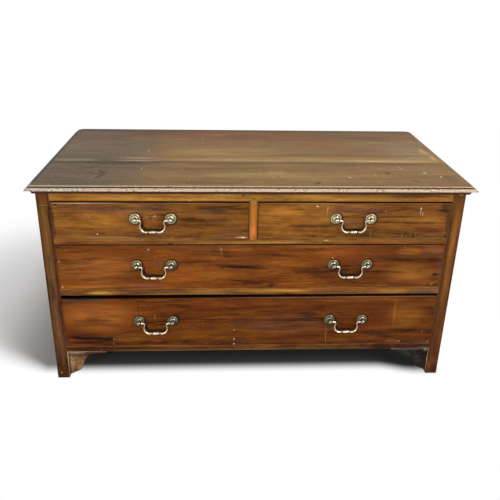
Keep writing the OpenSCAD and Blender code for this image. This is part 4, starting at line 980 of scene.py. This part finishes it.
def top_material(name, board, marks):
    """The top's faded wood, with its worn pale moulding and dark groove."""
    finish = FINISHES["top"]
    material, tree, place = empty_material(name)
    grain = grained(tree, place, finish, "x", board)
    colour = add_marks(tree, place, grain, grain["Color"], marks)
    dust = cloud(place, 1.0, 3.0, 0.7, (170.0, 70.0, 70.0))
    colour = blend(ramp(dust, 0.5, 0.68, 0.0, 0.13), colour, shade(170, 150, 116))
    colour = blend(ramp(dust, 0.5, 0.32, 0.0, 0.15), colour, shade(84, 66, 48))
    colour = worn_moulding(tree, place, colour, finish)
    finish_wood(tree, place, grain, colour, finish)
    return material


ASH = (92, 80, 63)
MAUVE = (102, 72, 58)
TAN = (152, 132, 100)
HONEY = (176, 142, 88)
WALNUT = (84, 62, 42)
CHESTNUT = (124, 76, 40)

TOP_MARKS = top_marks(
    (ASH, -480, -10, 240, 700, 0.9, 0.12), (MAUVE, -430, 150, 100, 60, 0.6, 0.3),
    ((100, 74, 56), -440, 70, 90, 30, 0.3), ((94, 58, 28), 0, 220, 700, 90, 0.6, 0.2),
    (CHESTNUT, -20, 190, 270, 60, 0.75, 0.3), (MAUVE, 400, 176, 60, 34, 0.5),
    (OLIVE, 330, 225, 120, 30, 0.35), ((112, 92, 68), 440, 90, 140, 90, 0.35, 0.3),
    (WALNUT, -320, 100, 44, 8, 0.35), (WALNUT, -330, 118, 30, 4, 0.3),
    (TAN, -330, 126, 34, 4, 0.35), (CHESTNUT, 230, 120, 40, 90, 0.3, 0.3),
    (HONEY, -60, 20, 200, 60, 0.35, 0.3), (MAUVE, -470, -238, 70, 10, 0.5, 0.3),
    ((96, 74, 58), -420, -160, 130, 60, 0.5, 0.2), (HONEY, 60, -185, 330, 26, 0.4, 0.4),
    (WALNUT, -60, -128, 110, 9, 0.35), (WALNUT, 230, -140, 70, 6, 0.5),
    (WALNUT, -160, -178, 60, 4, 0.45), ((46, 32, 25), -397, -163, 22, 18, 0.9, 0.4),
    ((112, 88, 70), -402, -162, 13, 9, 1.0, 0.2), ((48, 33, 25), -386, -194, 7, 28, 0.85, 0.3, 28),
    ((56, 40, 30), -430, -128, 38, 6, 0.75, 0.5, -20), (SOOT_AND_SHADE, 352, -163, 5, 10, 0.8, 0.3, -35),
    (SOOT_AND_SHADE, 408, -222, 5, 13, 0.8, 0.3, -35), (SOOT_AND_SHADE, 155, -243, 4, 16, 0.8, 0.3, 45),
    (SOOT_AND_SHADE, 62, -195, 6, 5, 0.6, 0.3), (CREAM, -290, 32, 2.2, 8, 0.4, 0.8),
    (CREAM, -289, -137, 1.4, 8, 0.45, 0.6), (PALE, -139, 172, 2.4, 9, 0.4, 0.5),
    (PALE, -504, 60, 3, 5, 0.45, 0.8), (CREAM, 245, -197, 5, 5, 0.5, 1.0),
    (CREAM, 484, -190, 3, 8, 0.5, 0.8, 20), (CREAM, 452, -156, 4, 9, 0.4, 0.8),
    (PALE, 510, 40, 10, 34, 0.5, 1.6), (PALE, 518, -30, 9, 36, 0.5, 1.6),
    (PALE, 397, -110, 1.6, 36, 0.5, 0.5, -8), (PALE, 338, -196, 22, 1.6, 0.5, 0.5, 24),
    (PALE, 316, -176, 1.4, 20, 0.4, 0.5), (PALE, 60, -160, 30, 18, 0.2),
    (SMOKE, 505, -205, 26, 30, 0.35), (WALNUT, 275, 138, 60, 7, 0.45),
    (WALNUT, 228, 192, 16, 6, 0.5), (WALNUT, 52, 90, 6, 12, 0.4))

# These numbers tell the grain of the two boards from that of all others.
TOP_BOARD_NUMBERS = (40.0, 43.0)

# Beside the seam the front board is darker and the back board is rubbed pale.
FRONT_BOARD_MARKS = top_marks(
    (WALNUT, 60, -69, 560, 22, 0.5, 0.5), ((72, 56, 44), -390, -69, 170, 34, 0.8, 0.3),
    (WALNUT, 300, -90, 170, 14, 0.4, 0.6))
BACK_BOARD_MARKS = top_marks(
    ((162, 142, 112), -478, -61, 66, 14, 0.7, 0.5), ((162, 142, 112), -306, -39, 64, 6, 0.75, 0.5),
    ((162, 142, 112), -310, -64, 70, 6, 0.75, 0.5), (HONEY, 210, -55, 420, 40, 0.6, 0.5),
    ((190, 160, 110), 380, -56, 170, 14, 0.35, 0.9), ((160, 138, 100), 470, 10, 90, 70, 0.35, 1.0),
    (HONEY, -100, -52, 160, 12, 0.45, 0.6), ((60, 44, 32), -300, -69, 500, 3.2, 0.55, 0.3))


# Handles

def smooth_line(points, per_span):
    """A finer line through the given points, with round turns."""
    fine = []
    for i in range(len(points) - 1):
        p0 = points[max(i - 1, 0)]
        p1, p2 = points[i], points[i + 1]
        p3 = points[min(i + 2, len(points) - 1)]
        for k in range(per_span):
            t = k / per_span
            fine.append(tuple(
                0.5 * (2 * b + (c - a) * t + (2 * a - 5 * b + 4 * c - d) * t * t
                       + (3 * b - a - 3 * c + d) * t ** 3)
                for a, b, c, d in zip(p0, p1, p2, p3)))
    fine.append(tuple(points[-1]))
    return fine


# The mesh value of the hollows, which also holds painted shade on the shady side
HOLLOW_AND_SHADE = "hollow"


def hollow_at(spots, a, b):
    """How deep a point of a profile lies in the hollows, each given as (a, b, reach, depth)."""
    return max([0.0] + [(1.0 - math.dist((a, b), spot[:2]) / spot[2]) * spot[3] for spot in spots])


# The side of the plates and posts given painted shade, as an angle: lower right
SHADY_SIDE = math.radians(-72)
TURNED_SIDES = 40
BAIL_SIDES = 20


def skin(work, rings):
    """Joins rings of points with faces and closes both ends. A ring can be a single point."""
    for a, b in zip(rings, rings[1:]):
        sides = max(len(a), len(b))
        for k in range(sides):
            n = (k + 1) % sides
            corners = (a[k % len(a)], a[n % len(a)], b[n % len(b)], b[k % len(b)])
            unique = list(dict.fromkeys(corners))
            if len(unique) > 2:
                work.faces.new(unique)
    for ring in (rings[0], rings[-1]):
        if len(ring) > 1:
            work.faces.new(ring)


def turned(work, profile, centre, hollows, shady):
    """Adds a turned shape. Profile is (radius, distance out of the front) in millimetres, and
    shady is how much painted shade its lower right side gets."""
    depth = work.verts.layers.float.get(HOLLOW_AND_SHADE) or work.verts.layers.float.new(HOLLOW_AND_SHADE)
    turns = [2 * math.pi * k / TURNED_SIDES for k in range(TURNED_SIDES)]
    rings = []
    for r, h in profile:
        y = centre.y - h * MM
        if r < 1e-6:
            ring = [work.verts.new((centre.x, y, centre.z))]
        else:
            ring = [work.verts.new((centre.x + r * MM * math.cos(a), y,
                                    centre.z + r * MM * math.sin(a))) for a in turns]
        for a, vertex in zip(turns, ring):
            side = max(0.0, math.cos(a - SHADY_SIDE)) ** 0.7 * min(1.0, r / 6) * shady
            vertex[depth] = max(side, hollow_at(hollows, r, h))
        rings.append(ring)
    skin(work, rings)


FRONT_FACE_Y = FRONT_Y * MM
ROSE_R = 13.9
ROSE = smooth_line([
    (3.4, 0.1), (ROSE_R - 0.3, 0.1), (ROSE_R, 0.5), (ROSE_R - 0.2, 1.2), (ROSE_R - 1.0, 2.0),
    (ROSE_R - 2.0, 2.45), (ROSE_R - 3.0, 2.35), (ROSE_R - 4.0, 1.7), (ROSE_R - 5.0, 1.25),
    (ROSE_R - 5.6, 1.5), (ROSE_R - 6.3, 2.3), (ROSE_R - 7.4, 3.4), (ROSE_R - 8.8, 4.1),
    (4.2, 4.4), (3.4, 4.4)], 3)
ROSE_HOLLOWS = [(ROSE_R - 4.9, 1.1, 1.8, 0.8), (ROSE_R + 0.2, 0.0, 0.9, 1.0), (4.4, 4.4, 1.8, 2.0),
                (ROSE_R - 1.8, 2.4, 4.0, 0.5)]
PIVOT_OUT = 12.0
BALL_R = 5.8
# Hollows of the post: tarnish and painted shade round its neck and on the back of the ball, towards
# the plate, and at its tip
POST_HOLLOWS = [(3.0, 4.8, 3.4, 1.6), (4.4, 8.0, 4.6, 1.5), (1.4, 18.2, 0.9, 1.0)]
HANDLE_POST = smooth_line([
    (2.4, -18.0), (2.4, -0.3), (3.45, 0.3), (3.45, 4.3), (4.3, 4.6), (4.5, 5.0), (4.3, 5.4),
    (2.9, 5.9), (2.7, 6.4)], 2) + [
    (BALL_R * math.sin(a), PIVOT_OUT - BALL_R * math.cos(a))
    for a in (math.radians(27 + (163 - 27) * i / 22) for i in range(23))] + [
    (1.7, 17.75), (1.45, 18.2), (1.0, 18.55), (0.5, 18.7), (0.0, 18.75)]

SHOULDER_X = 37.8
ELBOW_X = SHOULDER_X - 8.9
NECK_X = SHOULDER_X - 7.0
BAIL_DROP = 31.4
BELLY_DROP = BAIL_DROP + 0.6
BELLY_X = 17.0
GRIP_HALF = 9.2


def curve_point(a, b, c, d, t):
    """The point at t, from 0 to 1, of the curve from a to d that b and c pull at."""
    return tuple((1 - t) ** 3 * p + 3 * (1 - t) ** 2 * t * q + 3 * (1 - t) * t * t * r + t ** 3 * s
                 for p, q, r, s in zip(a, b, c, d))


def bail_half():
    """The right half of the swan neck as (x, z, radius) from the pivot, shoulder first."""
    spans = [
        ((SHOULDER_X - 0.6, 0, 2.6), (SHOULDER_X - 6, 0, 2.7), (ELBOW_X, -0.5, 2.3),
         (ELBOW_X, -5, 1.65)),
        ((ELBOW_X, -5, 1.65), (ELBOW_X, -9.5, 1.35), (NECK_X, -10.5, 1.35), (NECK_X, -16, 1.45)),
        ((NECK_X, -16, 1.45), (NECK_X, -24.5, 1.65), (BELLY_X + 7, -BELLY_DROP, 2.6),
         (BELLY_X, -BELLY_DROP, 2.7)),
        ((BELLY_X, -BELLY_DROP, 2.7), (BELLY_X - 2, -BELLY_DROP, 2.7),
         (GRIP_HALF + 3.6, -BAIL_DROP + 0.4, 2.2), (GRIP_HALF + 2.3, -BAIL_DROP, 1.9))]
    line = []
    for span in spans:
        line += [curve_point(*span, i / 12) for i in range(12)]
    return line


GRIP = [(GRIP_HALF + 1.8, 2.4), (GRIP_HALF + 1.4, 3.5), (GRIP_HALF + 0.9, 3.5),
        (GRIP_HALF + 0.3, 1.7), (GRIP_HALF - 0.6, 1.6), (GRIP_HALF - 1.3, 2.8),
        (6.2, 3.35), (4.0, 3.6), (2.0, 3.75), (0.0, 3.8)]


BAIL_HOLLOWS = [(GRIP_HALF + 2.5, -BAIL_DROP, 0.9, 1.2), (GRIP_HALF - 0.2, -BAIL_DROP, 1.6, 1.4),
                (SHOULDER_X + 1.5, 0, 3.0, 1.0), (ELBOW_X, -9, 13, 0.5)]


def bail_line():
    """The whole bail from shoulder to shoulder as (x, z, radius)."""
    right = bail_half() + [(x, -BAIL_DROP, r) for x, r in smooth_line(GRIP, 4)]
    return right + [(-x, z, r) for x, z, r in reversed(right[:-1])]


PIN_OUT = 3.6


def make_bail(name, hinge):
    """The bail: a swept rod of changing thickness with its turned grip, hung at the hinge."""
    shoulder = [(SHOULDER_X + 0.4 + PIN_OUT, 0, 1.9), (SHOULDER_X + 0.1, 0, 1.95),
                (SHOULDER_X, 0, 2.9), (SHOULDER_X - 0.5, 0, 3.2), (SHOULDER_X - 1.4, 0, 3.25),
                (SHOULDER_X - 2.0, 0, 2.9)]
    line = shoulder + bail_line()[2:-2] + [(-x, z, r) for x, z, r in reversed(shoulder)]
    work = bmesh.new()
    depth = work.verts.layers.float.new(HOLLOW_AND_SHADE)
    rings = []
    for i, (x, z, r) in enumerate(line):
        before, after = line[max(i - 1, 0)], line[min(i + 1, len(line) - 1)]
        run = Vector((after[0] - before[0], 0, after[1] - before[1])).normalized()
        across = Vector((-run.z, 0, run.x))
        ring = []
        for k in range(BAIL_SIDES):
            a = 2 * math.pi * k / BAIL_SIDES
            off = across * (r * math.cos(a)) + Vector((0, r * math.sin(a), 0))
            vertex = work.verts.new(hinge + (Vector((x, 0, z)) + off) * MM)
            vertex[depth] = hollow_at(BAIL_HOLLOWS, abs(x), z)
            ring.append(vertex)
        rings.append(ring)
    skin(work, rings)
    return finish_mesh(work, name)


LIT_SIDE = (-0.6, 0.0, 0.85)


# The grime colour also colours the painted shade
def brass_material(name, bright, dull, grime, tarnish):
    """Aged brass, darkest in the hollows and the painted shade that the meshes mark."""
    material, tree, place = empty_material(name)
    hollow = put(tree, "Attribute", {"attribute_name": HOLLOW_AND_SHADE})["Fac"]
    up = vector_calc("DOT_PRODUCT", put(tree, "TexCoord")["Normal"], LIT_SIDE)
    brass = place_group(tree, "brass", Place=place, Bright=bright, Dull=dull, Grime=grime,
                        Hollow=hollow, Up=up, Tarnish=tarnish)
    bump = put(tree, "Bump", Strength=0.35, Distance=0.0002, Height=brass["Height"])
    shader = put(tree, "BsdfPrincipled", Base_Color=brass["Color"], Roughness=brass["Roughness"],
                 Metallic=brass["Metallic"], Normal=bump[0])
    put(tree, "OutputMaterial", Surface=shader[0])
    return material


# bright, dull, the colour of grime and painted shade, painted shade below, and painted shade
# of the lower right side: of the plates by row, and of the bails
BRASSES = {
    "upper": (shade(228, 215, 178), shade(160, 144, 104), shade(38, 42, 24), 0.7, 0.5),
    "middle": (shade(176, 166, 134), shade(98, 91, 68), shade(34, 34, 24), 0.88, 0.9),
    "lower": (shade(158, 150, 122), shade(84, 80, 63), shade(28, 31, 27), 0.92, 1.0),
    "bail": (shade(246, 234, 204), shade(176, 156, 122), shade(60, 44, 24), 0.85, 0.0),
}

DRAWERS = ("upper_left", "upper_right", "middle", "lower")


def bail_joints():
    return [j for j in frame["joints"] if j["name"].endswith("bail_swing")]


def make_handles():
    """Plates, posts and bails, in place of their plain solids."""
    metal = {key: brass_material(key + " brass", *values[:4]) for key, values in BRASSES.items()}
    for drawer in DRAWERS:
        row = drawer.split("_")[0]
        hinges = [Vector(j["pos_m"]) for j in bail_joints() if j["parent"] == drawer + "_drawer"]
        for part, profile, hollows in (("roses", ROSE, ROSE_HOLLOWS),
                                       ("handle_posts", HANDLE_POST, POST_HOLLOWS)):
            work = bmesh.new()
            for hinge in hinges:
                for side in (-1, 1):
                    centre = Vector((hinge.x + side * HANDLE_HALF, FRONT_FACE_Y, hinge.z))
                    turned(work, profile, centre, hollows, BRASSES[row][4])
            piece = finish_mesh(work, f"{drawer}_brass_{part}")
            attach(piece, drawer + "_drawer")
            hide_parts(f"{drawer}_{part}")
            dress(piece, metal[row])
    for joint in bail_joints():
        node = joint["child"]
        piece = make_bail("brass_" + node, Vector(joint["pos_m"]))
        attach(piece, node)
        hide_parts(node)
        dress(piece, metal["bail"])


def steel_material():
    material, tree, place = empty_material("dull steel")
    rust = ramp(cloud(place, 260.0, 4.0, 0.65), 0.5, 0.66)
    fine = cloud(place, 1400.0, 2.0, 0.6)
    colour = blend(rust, shade(150, 146, 138), shade(112, 70, 44))
    rough = rust * 0.35 + fine * 0.2
    bump = put(tree, "Bump", Strength=0.4, Distance=0.0002, Height=fine)
    shader = put(tree, "BsdfPrincipled", Base_Color=colour, Roughness=rough + 0.2,
                 Metallic=1.0 - rust * 0.8, Normal=bump[0])
    put(tree, "OutputMaterial", Surface=shader[0])
    return material


def dress_fittings():
    material = steel_material()
    for name, piece in nodes.items():
        if slot_of[name] == "steel":
            dress(piece, material)
            soften(piece, STEEL_ARRIS, 25.0)


# Floor, backdrop and light

# The chest on the floor: half its width and depth between the outer sides of its feet
FEET_X = 0.53
FEET_Y = 0.245
FLOOR_HALF = 14.0
FLOOR_COLOUR = 0.93
FLOOR_SHADE = 0.44
SKY_STRENGTH = 0.55
# The floor turns white between these distances from the chest, and this far ahead of its middle,
# and the shadow ends at these sides.
WHITE_FROM = 0.25
WHITE_BY = 0.85
WHITE_AHEAD = 0.181
WHITE_WIDTH = 0.055
SHADOW_LEFT = -0.575
SHADOW_RIGHT = 0.528


def area_light(name, place, aim, size, power):
    """A rectangular light at a place, turned towards its aim."""
    data = bpy.data.lights.new(name, "AREA")
    data.shape = "RECTANGLE"
    data.size, data.size_y = size
    data.energy = power
    lamp = bpy.data.objects.new(name, data)
    lamp.location = place
    lamp.rotation_mode = "QUATERNION"
    lamp.rotation_quaternion = (Vector(aim) - Vector(place)).to_track_quat("-Z", "Y")
    scene.collection.objects.link(lamp)


def seen_directly(tree):
    """1 for what the camera sees, itself or in metal or glass."""
    path = put(tree, "LightPath")
    seen = larger(path["Is Camera Ray"], path["Is Glossy Ray"])
    return larger(seen, path["Is Transmission Ray"])


def floor_material():
    """A pale floor that turns into the white backdrop away from the chest, with painted shadow
    below the chest and round it.
    """
    material, tree, place = empty_material("pale floor")
    x, y, _ = put(tree, "SeparateXYZ", Vector=place)
    aside = abs(x) - FEET_X
    front = abs(y) - FEET_Y
    outside = larger(aside, front)
    out_x = larger(aside, 0.0)
    out_y = larger(front, 0.0)
    away = calc("SQRT", out_x * out_x + out_y * out_y)
    at_right_foot = ramp(x, 0.36, 0.48) * ramp(x, 0.555, 0.53)
    past_left_foot = larger(SHADOW_LEFT - x, 0.0)
    # Painted shadow: the floor is nearly black under the chest and darker near it
    under = ramp(scaled(at_right_foot, -0.045, outside), 0.01, -0.06)
    near = ramp(outside, 0.3, 0.03)
    colour = blend(near, (FLOOR_COLOUR,) * 3 + (1.0,), (FLOOR_SHADE,) * 3 + (1.0,))
    colour = blend(under, colour, (0.08, 0.085, 0.085, 1.0))
    diffuse = put(tree, "BsdfDiffuse", Color=colour)
    white = put(tree, "Emission", Color=WHITE, Strength=1.0)
    start = scaled(past_left_foot, -0.75, WHITE_AHEAD)
    start = scaled(at_right_foot, 0.024, start)
    width = scaled(past_left_foot, 0.45, WHITE_WIDTH)
    ahead = y * -1.0 - start
    before = ramp(ahead / width, 0.0, 1.0)
    right = ramp(x, SHADOW_RIGHT, SHADOW_RIGHT + 0.024)
    white_part = larger(ramp(away, WHITE_FROM, WHITE_BY), larger(before, right))
    far = white_part * seen_directly(tree)
    chosen = put(tree, "MixShader", i0=far, i1=diffuse[0], i2=white[0])
    put(tree, "OutputMaterial", Surface=chosen[0])
    return material


def make_stage():
    mesh = bpy.data.meshes.new("floor")
    f = FLOOR_HALF
    mesh.from_pydata([(-f, -f, 0), (f, -f, 0), (f, f, 0), (-f, f, 0)], [], [(0, 1, 2, 3)])
    floor = bpy.data.objects.new("floor", mesh)
    scene.collection.objects.link(floor)
    mesh.materials.append(floor_material())


def make_world():
    world = bpy.data.worlds.new("studio")
    scene.world = world
    world.use_nodes = True
    tree = world.node_tree
    tree.nodes.clear()
    soft = put(tree, "Background", Color=WHITE, Strength=SKY_STRENGTH)
    white = put(tree, "Background", Color=WHITE, Strength=1.0)
    chosen = put(tree, "MixShader", i0=seen_directly(tree), i1=soft[0], i2=white[0])
    put(tree, "OutputWorld", Surface=chosen[0])


def make_lights():
    """The lights, each with its place, its aim, its width and height, and its power in watts."""
    area_light("key", (4.0, -3.4, 3.9), (0.0, 0.0, 0.25), (2.8, 2.4), 230.0)
    area_light("window", (-2.6, -4.2, 1.5), (0.0, 0.0, 0.3), (0.9, 0.9), 50.0)
    area_light("overhead", (0.2, 0.2, 3.2), (0.0, 0.0, 0.5), (2.4, 1.6), 10.0)


slot_of = {s["node"]: s["material_slot"] for s in frame["record"]["subparts"]}
GROUPS = build_groups()
make_camera()
make_stage()
make_world()
make_lights()
dress_boards()
for board, number, own_marks in zip(make_top_boards(), TOP_BOARD_NUMBERS,
                                    (FRONT_BOARD_MARKS, BACK_BOARD_MARKS)):
    dress(board, top_material(board.name + " wood", number, TOP_MARKS + own_marks))
make_handles()
dress_fittings()

scene.view_settings.view_transform = "Standard"
